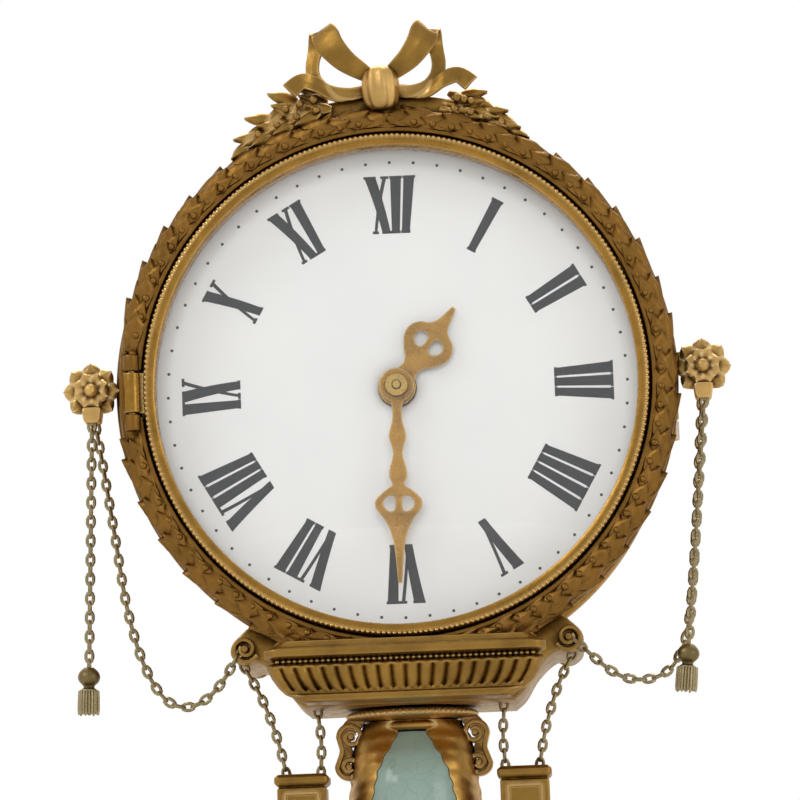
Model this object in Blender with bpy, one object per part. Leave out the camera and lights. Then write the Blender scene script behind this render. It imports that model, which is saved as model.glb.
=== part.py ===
"""A gilt-bronze desk clock: a round drum carried by a celadon vase on a stepped base.

Metres, +Z up, dial facing -Y, origin at the centre of the base's underside. Sizes are in millimetres
times MM. The stand is measured from the table up. The drum, its ornaments and the movement are measured
from the dial's centre: X to the right, Z up, and depths along Y, which grow towards the back.
"""

import math

import bmesh
import bpy
from mathutils import Matrix, Vector
from mathutils.geometry import tessellate_polygon

MM = 0.001

# clearances: between pieces that touch, between a pivot and its hole, and between a pin and its knuckle
GAP = 0.3
PIVOT_PLAY = 0.2
PIN_PLAY = 0.15

# stand, from the table up
BASE_WIDTH = 92.0
BASE_DEPTH = 66.0
BASE_HEIGHT = 6.0
BASE_CORNER = 7.0
FOOT_INSET = 9.5
FOOT_HEIGHT = 9.0
FOOT_RADIUS = 6.0
SLAB_MARGIN = 4.0
SLAB_HEIGHT = 10.0
SLAB_CORNER = 5.0
SOCLE_HEIGHT = 19.1
SOCLE_RADIUS = 13.0
VASE_HEIGHT = 69.7
VASE_RADIUS = 11.3
COLLAR_HEIGHT = 3.7
COLLAR_RADIUS = 11.8
BOLT_RADIUS = 2.0
BOLT_PLAY = 0.4
COLUMN_SPACING = 40.0
COLUMN_Y = -6.0
COLUMN_RADIUS = 3.6
CAP_WIDTH = 9.8
CAP_HEIGHT = 9.9
CAP_DROP = 68.2

# drum, from the dial outwards
DIAL_RADIUS = 45.2
DIAL_THICKNESS = 1.3
DIAL_RISE = 1.2
DRUM_WALL = 2.0
DRUM_FRONT = -16.0
RING_WIDTH = 5.1
RING_DEPTH = 8.7
BEZEL_WIDTH = 2.6
GLASS_THICKNESS = 1.3
GLASS_RISE = 3.5
DOOR_THICKNESS = 2.1
PIN_RADIUS = 0.62
PIN_LENGTH = 12.6
ROSETTE_RADIUS = 5.1
ROSETTE_Z = 1.2
ROSETTE_DEPTH = 6.4
CREST_DEPTH = 5.2
CRADLE_DEPTH = 5.6
APRON_THICKNESS = 3.0
ARM_DEPTH = 30.0

# hands, turned clockwise from XII
HOUR_LENGTH = 17.6
HOUR_ANGLE = math.radians(38)
MINUTE_LENGTH = 35.6
MINUTE_ANGLE = math.radians(181)
HAND_THICKNESS = 0.5

# movement: the space behind the dial, the two plates and the space behind them
MOTION_SPACE = 4.6
PLATE_THICKNESS = 2.0
PLATE_SPACE = 16.0
BACK_PLATE_RADIUS = 38.0
BACK_SPACE = 10.8
PILLAR_RADIUS = 1.6
PILLAR_CIRCLE = 32.5
RATCHET_RADIUS = 6.0

# wheel work: teeth and module of each pair, and the direction from one arbor to the next
BARREL_TEETH = 48
CENTRE_LEAVES = 8
BARREL_MODULE = 0.675
CENTRE_TEETH = 48
THIRD_LEAVES = 6
CENTRE_MODULE = 0.48
THIRD_TEETH = 45
FOURTH_LEAVES = 6
THIRD_MODULE = 0.4267
FOURTH_TEETH = 60
ESCAPE_LEAVES = 6
FOURTH_MODULE = 0.32
CANNON_LEAVES = 8
MINUTE_TEETH = 24
CANNON_MODULE = 0.45
MINUTE_LEAVES = 8
HOUR_TEETH = 32
HOUR_MODULE = 0.36
ESCAPE_TEETH = 15
ESCAPE_RADIUS = 5.2
BARREL_TO_CENTRE = math.radians(90)
CENTRE_TO_THIRD = math.radians(155)
THIRD_TO_FOURTH = math.radians(60)
FOURTH_TO_ESCAPE = math.radians(0)
ESCAPE_TO_LEVER = math.radians(60)
CENTRE_TO_MINUTE = math.radians(-30)
LEVER_DISTANCE = 6.3
BALANCE_DISTANCE = 8.5
BALANCE_RADIUS = 7.0

# chains
CHAIN_RADIUS = 0.7
TASSEL_LENGTH = 8.2

# heights and depths that follow from these
BASE_Z = FOOT_HEIGHT + GAP
SLAB_Z = BASE_Z + BASE_HEIGHT + GAP
SOCLE_Z = SLAB_Z + SLAB_HEIGHT + GAP
VASE_Z = SOCLE_Z + SOCLE_HEIGHT + GAP
COLLAR_Z = VASE_Z + VASE_HEIGHT + GAP
CRADLE_Z = COLLAR_Z + COLLAR_HEIGHT + GAP
BOLT_HOLE = BOLT_RADIUS + BOLT_PLAY
DRUM_INSIDE = DIAL_RADIUS + 0.8
DRUM_RADIUS = DRUM_INSIDE + DRUM_WALL
RING_RADIUS = DRUM_INSIDE + RING_WIDTH
RING_BACK = DRUM_FRONT - GAP
RING_FRONT = RING_BACK - RING_DEPTH
CRADLE_LOW = -(RING_RADIUS + CRADLE_DEPTH)
DIAL_Z = CRADLE_Z - CRADLE_LOW
CAP_TOP = DIAL_Z - CAP_DROP
DIAL_BACK = DRUM_FRONT + 2.6
DIAL_FRONT = DIAL_BACK - DIAL_THICKNESS - DIAL_RISE
HOUR_BACK = DIAL_FRONT - 1.5
HOUR_FRONT = HOUR_BACK - HAND_THICKNESS
MINUTE_BACK = HOUR_FRONT - 1.3
MINUTE_FRONT = MINUTE_BACK - HAND_THICKNESS
PLATE_RIM = DIAL_BACK + GAP
FRONT_PLATE_Y = PLATE_RIM + MOTION_SPACE
WORKS_FRONT = FRONT_PLATE_Y + PLATE_THICKNESS
WORKS_BACK = WORKS_FRONT + PLATE_SPACE
BACK_PLATE_END = WORKS_BACK + PLATE_THICKNESS
DOOR_Y = BACK_PLATE_END + BACK_SPACE
DRUM_BACK = DOOR_Y - GAP
FRONT_HINGE = (-DRUM_INSIDE - 1.2, RING_FRONT + 1.4)
BACK_HINGE = (DRUM_RADIUS + 1.6, DOOR_Y + 1.2)
ROSETTE_X = RING_RADIUS + 3.7


# materials

def material(name, colour, metallic, roughness, alpha=1.0):
    made = bpy.data.materials.new(name)
    made.use_nodes = True
    shader = made.node_tree.nodes["Principled BSDF"]
    shader.inputs["Base Color"].default_value = (*colour, 1.0)
    shader.inputs["Metallic"].default_value = metallic
    shader.inputs["Roughness"].default_value = roughness
    shader.inputs["Alpha"].default_value = alpha
    made.diffuse_color = (*colour, alpha)
    return made


for old in list(bpy.data.objects):
    bpy.data.objects.remove(old, do_unlink=True)

GILT = material("gilt_bronze", (0.62, 0.40, 0.13), 1.0, 0.35)
BRASS = material("brass", (0.72, 0.52, 0.22), 1.0, 0.25)
STEEL = material("steel", (0.55, 0.55, 0.57), 1.0, 0.30)
BLUED = material("blued_steel", (0.03, 0.05, 0.16), 1.0, 0.25)
ENAMEL = material("white_enamel", (0.86, 0.86, 0.84), 0.0, 0.15)
CELADON = material("celadon", (0.24, 0.33, 0.27), 0.0, 0.12)
GLASS = material("glass", (0.95, 0.97, 0.97), 0.0, 0.02, 0.25)


# outlines, in millimetres

def arc(centre, radius, start, end, count):
    """Points on an arc from start to end, in radians, both ends included."""
    turns = [start + (end - start) * k / (count - 1) for k in range(count)]
    return [(centre[0] + radius * math.cos(a), centre[1] + radius * math.sin(a)) for a in turns]


def circle(radius, count=16, centre=(0, 0)):
    return arc(centre, radius, 0, 2 * math.pi * (count - 1) / count, count)


def rounded(half_x, half_y, radius, count=4):
    """A rectangle with round corners."""
    points = []
    for k, (sx, sy) in enumerate(((1, 1), (-1, 1), (-1, -1), (1, -1))):
        corner = (sx * (half_x - radius), sy * (half_y - radius))
        points += arc(corner, radius, k * math.pi / 2, (k + 1) * math.pi / 2, count)
    return points


def mirrored(points):
    """The mirror image of an outline's right half about X = 0, in reverse, to follow that half."""
    return [(-x, z) for x, z in reversed(points)]


def moved(points, centre):
    return [(x + centre[0], z + centre[1]) for x, z in points]


def clockwise(points, angle):
    """Points turned clockwise as seen from the front."""
    c, s = math.cos(angle), math.sin(angle)
    return [(x * c + z * s, -x * s + z * c) for x, z in points]


def beyond(centre, direction, distance):
    return (centre[0] + distance * math.cos(direction), centre[1] + distance * math.sin(direction))


def around(radius, shape, up):
    """Outline points from (degrees from the drum's top or bottom, distance outside a radius)."""
    turns = [(math.radians(degrees), radius + out) for degrees, out in shape]
    return [(r * math.sin(a), up * r * math.cos(a)) for a, r in turns]


def profile(radius, low, height, shape):
    """A turned profile from shares of its largest radius and of its height."""
    return [(radius * r, low + height * h) for r, h in shape]


def smooth(points, step):
    """Points about every step along a smooth curve through the given points."""
    points = [Vector(p) for p in points]
    ends = [2 * points[0] - points[1], *points, 2 * points[-1] - points[-2]]
    line = []
    for a, b, c, d in zip(ends, ends[1:], ends[2:], ends[3:]):
        count = max(1, round((c - b).length / step))
        for k in range(count):
            t = k / count
            bend = (2 * a - 5 * b + 4 * c - d) * t * t + (3 * b - a - 3 * c + d) * t * t * t
            line.append(0.5 * (2 * b + (c - a) * t + bend))
    return line + [points[-1]]


def spiral(start, end, turns, thickness, per_turn):
    """A flat coil's outline, from its inner end to its outer one and back."""
    count = round(turns * per_turn)
    outside, inside = [], []
    for k in range(count + 1):
        a, r = 2 * math.pi * k / per_turn, start + (end - start) * k / count
        outside.append(((r + thickness / 2) * math.cos(a), (r + thickness / 2) * math.sin(a)))
        inside.append(((r - thickness / 2) * math.cos(a), (r - thickness / 2) * math.sin(a)))
    return outside + inside[::-1]


def gear(teeth, module, phase, pinion=False):
    """A wheel's pointed teeth or a pinion's blunt leaves, one of them centred at the angle phase.

    Each tooth is (height over the pitch circle in modules, place in pitches), narrow enough for play.
    """
    wheel = ((-1.15, -0.28), (0.88, 0), (-1.15, 0.28))
    leaves = ((-1.15, -0.22), (0.50, -0.11), (0.50, 0.11), (-1.15, 0.22))
    pitch, radius = 2 * math.pi / teeth, teeth * module / 2
    points = []
    for k in range(teeth):
        for height, place in leaves if pinion else wheel:
            r, a = radius + height * module, phase + (k + place) * pitch
            points.append((r * math.cos(a), r * math.sin(a)))
    return points


def meshing(direction, phase, teeth, other_teeth):
    """The phase of a gear whose gap meets a tooth of the gear that lies back along direction."""
    offset = (phase - direction) * teeth / (2 * math.pi)
    return direction + math.pi - (offset + 0.5) * 2 * math.pi / other_teeth


def spokes(count, hub, rim, width):
    """The openings between a wheel's spokes."""
    openings = []
    for k in range(count):
        a, b = 2 * math.pi * k / count, 2 * math.pi * (k + 1) / count
        outer, inner = width / 2 / rim, width / 2 / hub
        openings.append(
            arc((0, 0), rim, a + outer, b - outer, 5) + arc((0, 0), hub, b - inner, a + inner, 2)
        )
    return openings


# solids

def area(outline):
    pairs = zip(outline, outline[1:] + outline[:1])
    return abs(sum(x0 * y1 - x1 * y0 for (x0, y0), (x1, y1) in pairs)) / 2


def holds(outline, point):
    """Whether a point lies inside an outline."""
    x, y = point
    found = False
    for (x0, y0), (x1, y1) in zip(outline, outline[1:] + outline[:1]):
        if (y0 > y) != (y1 > y) and x < x0 + (y - y0) * (x1 - x0) / (y1 - y0):
            found = not found
    return found


def placed(axis, centre):
    """A map from an outline's point and a depth to the world: depth along Y or along Z, from centre."""
    cx, cy, cz = centre
    if axis == "Y":
        return lambda p, w: Vector((cx + p[0], cy + w, cz + p[1])) * MM
    return lambda p, w: Vector((cx + p[0], cy + p[1], cz + w)) * MM


def finished(name, bm, look):
    bmesh.ops.remove_doubles(bm, verts=bm.verts, dist=1e-7)
    bmesh.ops.recalc_face_normals(bm, faces=bm.faces)
    mesh = bpy.data.meshes.new(name)
    bm.to_mesh(mesh)
    bm.free()
    mesh.shade_smooth()
    mesh.set_sharp_from_angle(angle=math.radians(35))
    mesh.materials.append(look)
    made = bpy.data.objects.new(name, mesh)
    bpy.context.collection.objects.link(made)
    return made


def stack(name, look, layers, axis="Y", centre=(0, 0, DIAL_Z)):
    """One body of flat layers (start, end, outline, holes) lying face to face.

    Of two neighbours, one outline holds the other or is the same list.
    """
    bm = bmesh.new()
    at = placed(axis, centre)

    def fill(outline, holes, w):
        loops = [outline, *holes]
        made = [bm.verts.new(at(p, w)) for loop in loops for p in loop]
        flat = [[Vector((x, z, 0)) for x, z in loop] for loop in loops]
        for face in tessellate_polygon(flat):
            bm.faces.new([made[k] for k in face])

    def wall(loop, start, end):
        low = [bm.verts.new(at(p, start)) for p in loop]
        high = [bm.verts.new(at(p, end)) for p in loop]
        for k in range(len(loop)):
            bm.faces.new((low[k - 1], low[k], high[k], high[k - 1]))

    for start, end, outline, holes in layers:
        for loop in (outline, *holes):
            wall(loop, start, end)
    fill(layers[0][2], layers[0][3], layers[0][0])
    fill(layers[-1][2], layers[-1][3], layers[-1][1])
    for lower, upper in zip(layers, layers[1:]):
        small, large = sorted((lower, upper), key=lambda l: (area(l[2]), -sum(map(area, l[3]))))
        if large[2] is not small[2]:
            kept = [h for h in large[3] if not holds(small[2], h[0])]
            fill(large[2], [small[2], *kept], lower[1])
        for hole in small[3]:
            if not any(hole is h for h in large[3]):
                fill(hole, [h for h in large[3] if holds(hole, h[0])], lower[1])
        for hole in large[3]:
            open_there = any(hole is h or holds(h, hole[0]) for h in small[3])
            if holds(small[2], hole[0]) and not open_there:
                fill(hole, [], lower[1])
    return finished(name, bm, look)


def turned(name, look, shape, count, axis="Z", centre=(0, 0, 0), bored=False):
    """A turned body from its profile of (radius, depth): a ring if bored, else solid with flat ends."""
    bm = bmesh.new()
    at = placed(axis, centre)
    rings = [[bm.verts.new(at(p, w)) for p in circle(r, count)] for r, w in shape]
    pairs = list(zip(rings, rings[1:]))
    if bored:
        pairs.append((rings[-1], rings[0]))
    else:
        bm.faces.new(rings[0])
        bm.faces.new(rings[-1])
    for low, high in pairs:
        for k in range(count):
            bm.faces.new((low[k - 1], low[k], high[k], high[k - 1]))
    return finished(name, bm, look)


def loft(name, look, sections, hole, count=16):
    """A stepped block from (height, outline) sections with a round hole down its middle."""
    bm = bmesh.new()
    at = placed("Z", (0, 0, 0))
    rings = [[bm.verts.new(at(p, z)) for p in outline] for z, outline in sections]
    for low, high in zip(rings, rings[1:]):
        for k in range(len(low)):
            bm.faces.new((low[k - 1], low[k], high[k], high[k - 1]))
    bore = circle(hole, count)
    ends = []
    for z, outline in (sections[0], sections[-1]):
        made = [bm.verts.new(at(p, z)) for p in outline + bore]
        flat = [[Vector((*p, 0)) for p in loop] for loop in (outline, bore)]
        for face in tessellate_polygon(flat):
            bm.faces.new([made[k] for k in face])
        ends.append(made[len(outline):])
    for k in range(count):
        bm.faces.new((ends[0][k - 1], ends[0][k], ends[1][k], ends[1][k - 1]))
    return finished(name, bm, look)


def box(low, high):
    """A block between two corners, in millimetres from the dial's centre."""
    outline = [(low[0], low[2]), (high[0], low[2]), (high[0], high[2]), (low[0], high[2])]
    return stack("tool", GILT, [(low[1], high[1], outline, [])])


def rod(radius, half_length, place, z=DIAL_Z, count=16):
    """An upright round bar, centred at a height."""
    return turned("tool", GILT, [(radius, -half_length), (radius, half_length)], count, "Z", (*place, z))


def worked(target, tools, operation):
    """The target joined to the tools (UNION) or cut by them (DIFFERENCE). The tools are used up."""
    for tool in tools:
        step = target.modifiers.new("step", "BOOLEAN")
        step.operation, step.solver, step.object = operation, "EXACT", tool
    graph = bpy.context.evaluated_depsgraph_get()
    mesh = bpy.data.meshes.new_from_object(target.evaluated_get(graph))
    target.modifiers.clear()
    target.data = mesh
    for tool in tools:
        bpy.data.objects.remove(tool, do_unlink=True)
    look = mesh.materials[0]
    mesh.materials.clear()
    mesh.materials.append(look)
    for face in mesh.polygons:
        face.material_index = 0
    return target


def chain(name, points):
    """A chain's centre line as a round bar, points in millimetres from the dial's centre."""
    curve = bpy.data.curves.new(name, "CURVE")
    curve.dimensions = "3D"
    curve.bevel_depth = CHAIN_RADIUS * MM
    curve.bevel_resolution = 2
    curve.use_fill_caps = True
    spline = curve.splines.new("POLY")
    spline.points.add(len(points) - 1)
    for point, (x, y, z) in zip(spline.points, points):
        point.co = (x * MM, y * MM, (DIAL_Z + z) * MM, 1)
    curve.materials.append(GILT)
    bpy.context.collection.objects.link(bpy.data.objects.new(name, curve))


def turning(joint, place, *names):
    """An empty on a joint's axis, which carries the pieces that turn about it."""
    empty = bpy.data.objects.new(joint, None)
    empty.location = Vector(place) * MM
    bpy.context.collection.objects.link(empty)
    for name in names:
        piece = bpy.data.objects[name]
        piece.parent = empty
        piece.matrix_parent_inverse = Matrix.Translation(-empty.location)


# the base: four toupie feet, a moulded bronze frame and a celadon slab

FOOT = [(0.53, 0), (0.63, 0.11), (0.50, 0.24), (0.90, 0.47), (1, 0.69), (0.70, 0.87), (0.77, 1)]
for side, sx in (("left", -1), ("right", 1)):
    for end, sy in (("front", -1), ("back", 1)):
        spot = (sx * (BASE_WIDTH / 2 - FOOT_INSET), sy * (BASE_DEPTH / 2 - FOOT_INSET), 0)
        foot = profile(FOOT_RADIUS, 0, FOOT_HEIGHT, FOOT)
        turned(f"foot_{end}_{side}", GILT, foot, 14, "Z", spot)


def step(low, height, margin, corner, rises):
    """Sections of a moulded block from (share of its height, inset)."""
    x, y = BASE_WIDTH / 2 - margin, BASE_DEPTH / 2 - margin
    return [(low + height * h, rounded(x - inset, y - inset, corner - inset)) for h, inset in rises]


BASE = ((0, 1.6), (0.22, 0), (0.62, 0), (0.75, 1.6), (1, 2.6))
loft("base_frame", GILT, step(BASE_Z, BASE_HEIGHT, 0, BASE_CORNER, BASE), BOLT_HOLE)
SLAB = ((0, 0), (0.88, 0), (1, 1.2))
loft("base_slab", CELADON, step(SLAB_Z, SLAB_HEIGHT, SLAB_MARGIN, SLAB_CORNER, SLAB), BOLT_HOLE)


# the vase on its turned socle, and the gilt mount with scrolled handles that crowns it

def sleeve(name, look, radius, low, height, shape, count):
    """A turned piece that the tie bolt runs through."""
    outside = profile(radius, low, height, shape)
    bore = [(BOLT_HOLE, low), *outside, (BOLT_HOLE, low + height)]
    return turned(name, look, bore, count, bored=True)


SOCLE = [(1, 0), (1, 0.11), (0.85, 0.19), (0.89, 0.27), (0.62, 0.42), (0.40, 0.63), (0.38, 0.79),
         (0.52, 0.87), (0.52, 0.95), (0.46, 1)]
sleeve("vase_socle", GILT, SOCLE_RADIUS, SOCLE_Z, SOCLE_HEIGHT, SOCLE, 20)

VASE = [(0.53, 0), (0.62, 0.07), (0.80, 0.27), (0.947, 0.50), (1, 0.67), (0.973, 0.813), (0.903, 0.885),
        (0.788, 0.935), (0.62, 0.97), (0.478, 1)]
sleeve("vase_body", CELADON, VASE_RADIUS, VASE_Z, VASE_HEIGHT, VASE, 24)

COLLAR = [(0.525, 0), (0.576, 0.24), (0.542, 0.51), (0.95, 0.62), (1, 0.78), (1, 1)]
mount = sleeve("vase_mount", GILT, COLLAR_RADIUS, COLLAR_Z, COLLAR_HEIGHT, COLLAR, 20)
# a handle's outline, as distances outside the vase and below the collar's top
HANDLE = [(-2.7, -1), (-2.1, -2.6), (-0.7, -3.7), (0.1, -5.4), (-0.4, -7.2), (0.3, -8.8), (0.1, -10.4),
          (0.5, -11.4), (1.6, -11.1), (2.2, -9.5), (1.4, -7.2), (2.3, -5.5), (1.9, -3), (0.2, -1)]
HANDLE_WIDTH = 4.4
handles = []
for s in (-1, 1):
    outline = [(s * (VASE_RADIUS + x), COLLAR_Z + COLLAR_HEIGHT + z) for x, z in HANDLE]
    layer = (-HANDLE_WIDTH / 2, HANDLE_WIDTH / 2, outline, [])
    handles.append(stack("tool", GILT, [layer], centre=(0, 0, 0)))
worked(mount, handles, "UNION")

# the two small columns beside the vase, each with a square cap that holds the ends of two chains

CAP_LOW = CAP_TOP - CAP_HEIGHT
COLUMN_TOP = CAP_LOW - GAP
COLUMN = [(2.4, SOCLE_Z), (2.4, SOCLE_Z + 2.1), (1.2, SOCLE_Z + 3.6), (1.8, SOCLE_Z + 5.1),
          (0, SOCLE_Z + 7.1), (-0.3, COLUMN_TOP - 3.6), (0.6, COLUMN_TOP - 2.1), (0.6, COLUMN_TOP)]
column = [(COLUMN_RADIUS + out, z) for out, z in COLUMN]
for side, sx in (("left", -1), ("right", 1)):
    spot = (sx * COLUMN_SPACING / 2, COLUMN_Y, 0)
    turned(f"side_column_{side}", GILT, column, 14, "Z", spot)
    layers = []
    for low, high, inset in ((0, 0.15, 0.9), (0.15, 0.78, 0.5), (0.78, 1, 0)):
        half = CAP_WIDTH / 2 - inset
        square = rounded(half, half, 0.6, 2)
        layers.append((CAP_LOW + CAP_HEIGHT * low, CAP_LOW + CAP_HEIGHT * high, square, []))
    stack(f"side_cap_{side}", GILT, layers, "Z", spot)

# the cradle: a moulded apron in front of the ring, a neck under it, and arms that reach round the drum.
# The outlines are right halves from the underside up, as (X, height above the underside).

APRON = [(18.6, 0), (21.6, 1.5), (23.8, 4.3), (24.9, 7.5), (23.4, 9.1), (21.4, 10.5)]
NECK = [(18.0, 0.2), (19.4, 1.5)]
ARM = [(18.8, 0), (20.8, 1.8), (23.2, 5.5), (26.6, 8.4), (29.4, 8.0), (31.4, 9.5), (31.2, 11.7),
       (28.6, 14.3)]
ARM_REACH = math.radians(32)
NECK_REACH = math.radians(21)
DOWN = -math.pi / 2

apron = moved(APRON, (0, CRADLE_LOW))
neck = moved(NECK, (0, CRADLE_LOW)) + around(RING_RADIUS, [(22, 0.7)], -1)
under_ring = arc((0, 0), RING_RADIUS + 0.4, DOWN + NECK_REACH, DOWN - NECK_REACH, 13)
arm = moved(ARM, (0, CRADLE_LOW))
seat = arc((0, 0), DRUM_RADIUS + GAP, DOWN + ARM_REACH, DOWN - ARM_REACH, 17)
APRON_BACK = RING_FRONT - 0.4
cradle = stack(
    "cradle",
    GILT,
    [(APRON_BACK - APRON_THICKNESS, APRON_BACK, apron + mirrored(apron), []),
     (APRON_BACK, DRUM_FRONT, neck + under_ring + mirrored(neck), []),
     (DRUM_FRONT, DRUM_FRONT + ARM_DEPTH, arm + seat + mirrored(arm), [])],
)
worked(cradle, [rod(BOLT_HOLE, 10, (0, 0), DIAL_Z + CRADLE_LOW)], "DIFFERENCE")

# the long bolt that holds base, vase, cradle and drum together, and its nut inside the drum

BOLT_HEAD = BASE_Z - GAP
NUT_LOW = DIAL_Z - DRUM_INSIDE + 0.5
NUT_HEIGHT = 3.4
bolt = [(BOLT_RADIUS + 2.4, BOLT_HEAD - 2.8), (BOLT_RADIUS + 2.6, BOLT_HEAD - 2.0),
        (BOLT_RADIUS + 2.6, BOLT_HEAD), (BOLT_RADIUS, BOLT_HEAD),
        (BOLT_RADIUS, NUT_LOW + NUT_HEIGHT + 2.1)]
turned("tie_bolt", STEEL, bolt, 16)
nut = (NUT_LOW, NUT_LOW + NUT_HEIGHT, circle(BOLT_RADIUS + 1.8, 6), [circle(BOLT_RADIUS + 0.25, 12)])
stack("tie_bolt_nut", STEEL, [nut], "Z", (0, 0, 0))

# the drum's shell, with a ledge behind the front plate and two knuckles for the back door's hinge

LEDGE = WORKS_FRONT + GAP
LEDGE_INSIDE = DRUM_INSIDE - 2.5
DRUM = [(DRUM_INSIDE, DRUM_FRONT), (DRUM_RADIUS, DRUM_FRONT), (DRUM_RADIUS, DRUM_BACK),
        (DRUM_INSIDE, DRUM_BACK), (DRUM_INSIDE, LEDGE + 2), (LEDGE_INSIDE, LEDGE + 2),
        (LEDGE_INSIDE, LEDGE), (DRUM_INSIDE, LEDGE)]
drum = turned("drum_case", GILT, DRUM, 48, "Y", (0, 0, DIAL_Z), bored=True)
KNUCKLE_RADIUS = PIN_RADIUS + 0.88
hinge_x, hinge_y = BACK_HINGE
LUG = [(DRUM_RADIUS - 1.2, DRUM_BACK - 6), (DRUM_RADIUS + 2.4, DRUM_BACK - 3)]
LUG += arc(BACK_HINGE, KNUCKLE_RADIUS, 0, math.pi, 7)
LUG += [(hinge_x - KNUCKLE_RADIUS, DRUM_BACK), (DRUM_RADIUS - 1.2, DRUM_BACK)]
DOOR_KNUCKLE = 2.6
lugs = []
for low, high in ((DOOR_KNUCKLE + 0.4, PIN_LENGTH / 2 + 0.1), (-PIN_LENGTH / 2 - 0.1, -DOOR_KNUCKLE - 0.4)):
    lugs.append(stack("tool", GILT, [(low, high, LUG, [])], "Z"))
worked(drum, lugs, "UNION")
hinge_hole = rod(PIN_RADIUS + PIN_PLAY, PIN_LENGTH, BACK_HINGE, count=12)
worked(drum, [hinge_hole, rod(BOLT_HOLE, 3, (0, 0), DIAL_Z - DRUM_RADIUS)], "DIFFERENCE")

# the wreath ring round the front, notched for the front hinge and for the two rosettes

RING = [(DRUM_INSIDE, RING_BACK), (RING_RADIUS - 0.4, RING_BACK), (RING_RADIUS, RING_BACK - 1.9),
        (RING_RADIUS - 0.5, RING_BACK - 5.3), (RING_RADIUS - 1.7, RING_FRONT + 0.9),
        (DRUM_INSIDE + 2.1, RING_FRONT), (DRUM_INSIDE + 0.8, RING_FRONT + 0.5),
        (DRUM_INSIDE, RING_FRONT + 2)]
ring = turned("wreath_ring", GILT, RING, 48, "Y", (0, 0, DIAL_Z), bored=True)
BEZEL_KNUCKLE = 3.6
hinge_x, hinge_y = FRONT_HINGE
notch = BEZEL_KNUCKLE + 0.4
notches = [
    box((hinge_x - 2, hinge_y - 3.4, -notch), (hinge_x + 3.2, hinge_y + 2.6, notch)),
    rod(PIN_RADIUS + PIN_PLAY, PIN_LENGTH / 2 + 0.2, FRONT_HINGE, count=12),
]
for sx in (-1, 1):
    cut = circle(ROSETTE_RADIUS + 0.35, 24, (sx * ROSETTE_X, ROSETTE_Z))
    notches.append(stack("tool", GILT, [(RING_FRONT - 5, RING_BACK + 5, cut, [])]))
worked(ring, notches, "DIFFERENCE")

# the hinged front bezel, its domed glass and the hinge pins

BEZEL_RADIUS = DRUM_INSIDE - 0.6
BEZEL_BACK = DRUM_FRONT - 2 * GAP
BEZEL_FRONT = hinge_y
REBATE = BEZEL_RADIUS - 1.1
SEAT = BEZEL_FRONT + 2.4
BEZEL = [(BEZEL_RADIUS - BEZEL_WIDTH, BEZEL_BACK), (BEZEL_RADIUS, BEZEL_BACK),
         (BEZEL_RADIUS, BEZEL_FRONT + 0.8), (BEZEL_RADIUS - 0.5, BEZEL_FRONT), (REBATE, BEZEL_FRONT + 0.3),
         (REBATE, SEAT), (REBATE - 1, SEAT + 0.2)]
bezel = turned("front_bezel", GILT, BEZEL, 48, "Y", (0, 0, DIAL_Z), bored=True)
tab_low = (hinge_x + 0.6, BEZEL_FRONT + 0.4, -BEZEL_KNUCKLE)
tab = box(tab_low, (0.7 - BEZEL_RADIUS, BEZEL_FRONT + 2, BEZEL_KNUCKLE))
worked(bezel, [tab, rod(KNUCKLE_RADIUS, BEZEL_KNUCKLE, FRONT_HINGE)], "UNION")
worked(bezel, [rod(PIN_RADIUS + PIN_PLAY, BEZEL_KNUCKLE + 1, FRONT_HINGE, count=12)], "DIFFERENCE")

GLASS_RADIUS = REBATE - GAP
GLASS_BACK = SEAT - GAP
glass = []
for shares, depth in (((0.05, 0.3, 0.55, 0.82, 0.995), 0), ((1, 0.82, 0.55, 0.3, 0.05), GLASS_THICKNESS)):
    glass += [(GLASS_RADIUS * s, GLASS_BACK - depth - GLASS_RISE * (1 - s * s)) for s in shares]
turned("front_glass", GLASS, glass, 32, "Y", (0, 0, DIAL_Z))

pin = [(PIN_RADIUS, -PIN_LENGTH / 2), (PIN_RADIUS, PIN_LENGTH / 2)]
turned("front_hinge_pin", BRASS, pin, 10, "Z", (*FRONT_HINGE, DIAL_Z))
turned("back_hinge_pin", BRASS, pin, 10, "Z", (*BACK_HINGE, DIAL_Z))
turning("bezel_hinge", (*FRONT_HINGE, DIAL_Z), "front_bezel", "front_glass")

# the hinged back door with its knob

DOOR_RADIUS = DRUM_RADIUS - 0.7
DOOR_BACK = DOOR_Y + DOOR_THICKNESS
PANEL_RADIUS = DOOR_RADIUS - 7.8
DOOR = [(DOOR_RADIUS - 17, DOOR_Y), (DOOR_RADIUS, DOOR_Y), (DOOR_RADIUS, DOOR_BACK - 0.6),
        (DOOR_RADIUS - 0.7, DOOR_BACK), (PANEL_RADIUS + 1, DOOR_BACK), (PANEL_RADIUS, DOOR_BACK - 0.6),
        (DOOR_RADIUS - 17, DOOR_BACK - 0.6)]
door = turned("back_door", GILT, DOOR, 32, "Y", (0, 0, DIAL_Z))
hinge_x, hinge_y = BACK_HINGE
tab = box((DOOR_RADIUS - 1.5, DOOR_Y + 0.2, -DOOR_KNUCKLE), (hinge_x - 0.6, DOOR_BACK - 0.2, DOOR_KNUCKLE))
KNOB = [(1.0, -1.4), (1.0, 0.8), (2.0, 1.4), (2.0, 2.4), (1.2, 2.9)]
knob = [(r, DOOR_BACK + y) for r, y in KNOB]
knob = turned("tool", GILT, knob, 12, "Y", (4.7 - DOOR_RADIUS, 0, DIAL_Z))
worked(door, [tab, rod(KNUCKLE_RADIUS, DOOR_KNUCKLE, BACK_HINGE), knob], "UNION")
worked(door, [rod(PIN_RADIUS + PIN_PLAY, DOOR_KNUCKLE + 1, BACK_HINGE, count=12)], "DIFFERENCE")
turning("door_hinge", (*BACK_HINGE, DIAL_Z), "back_door")

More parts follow.
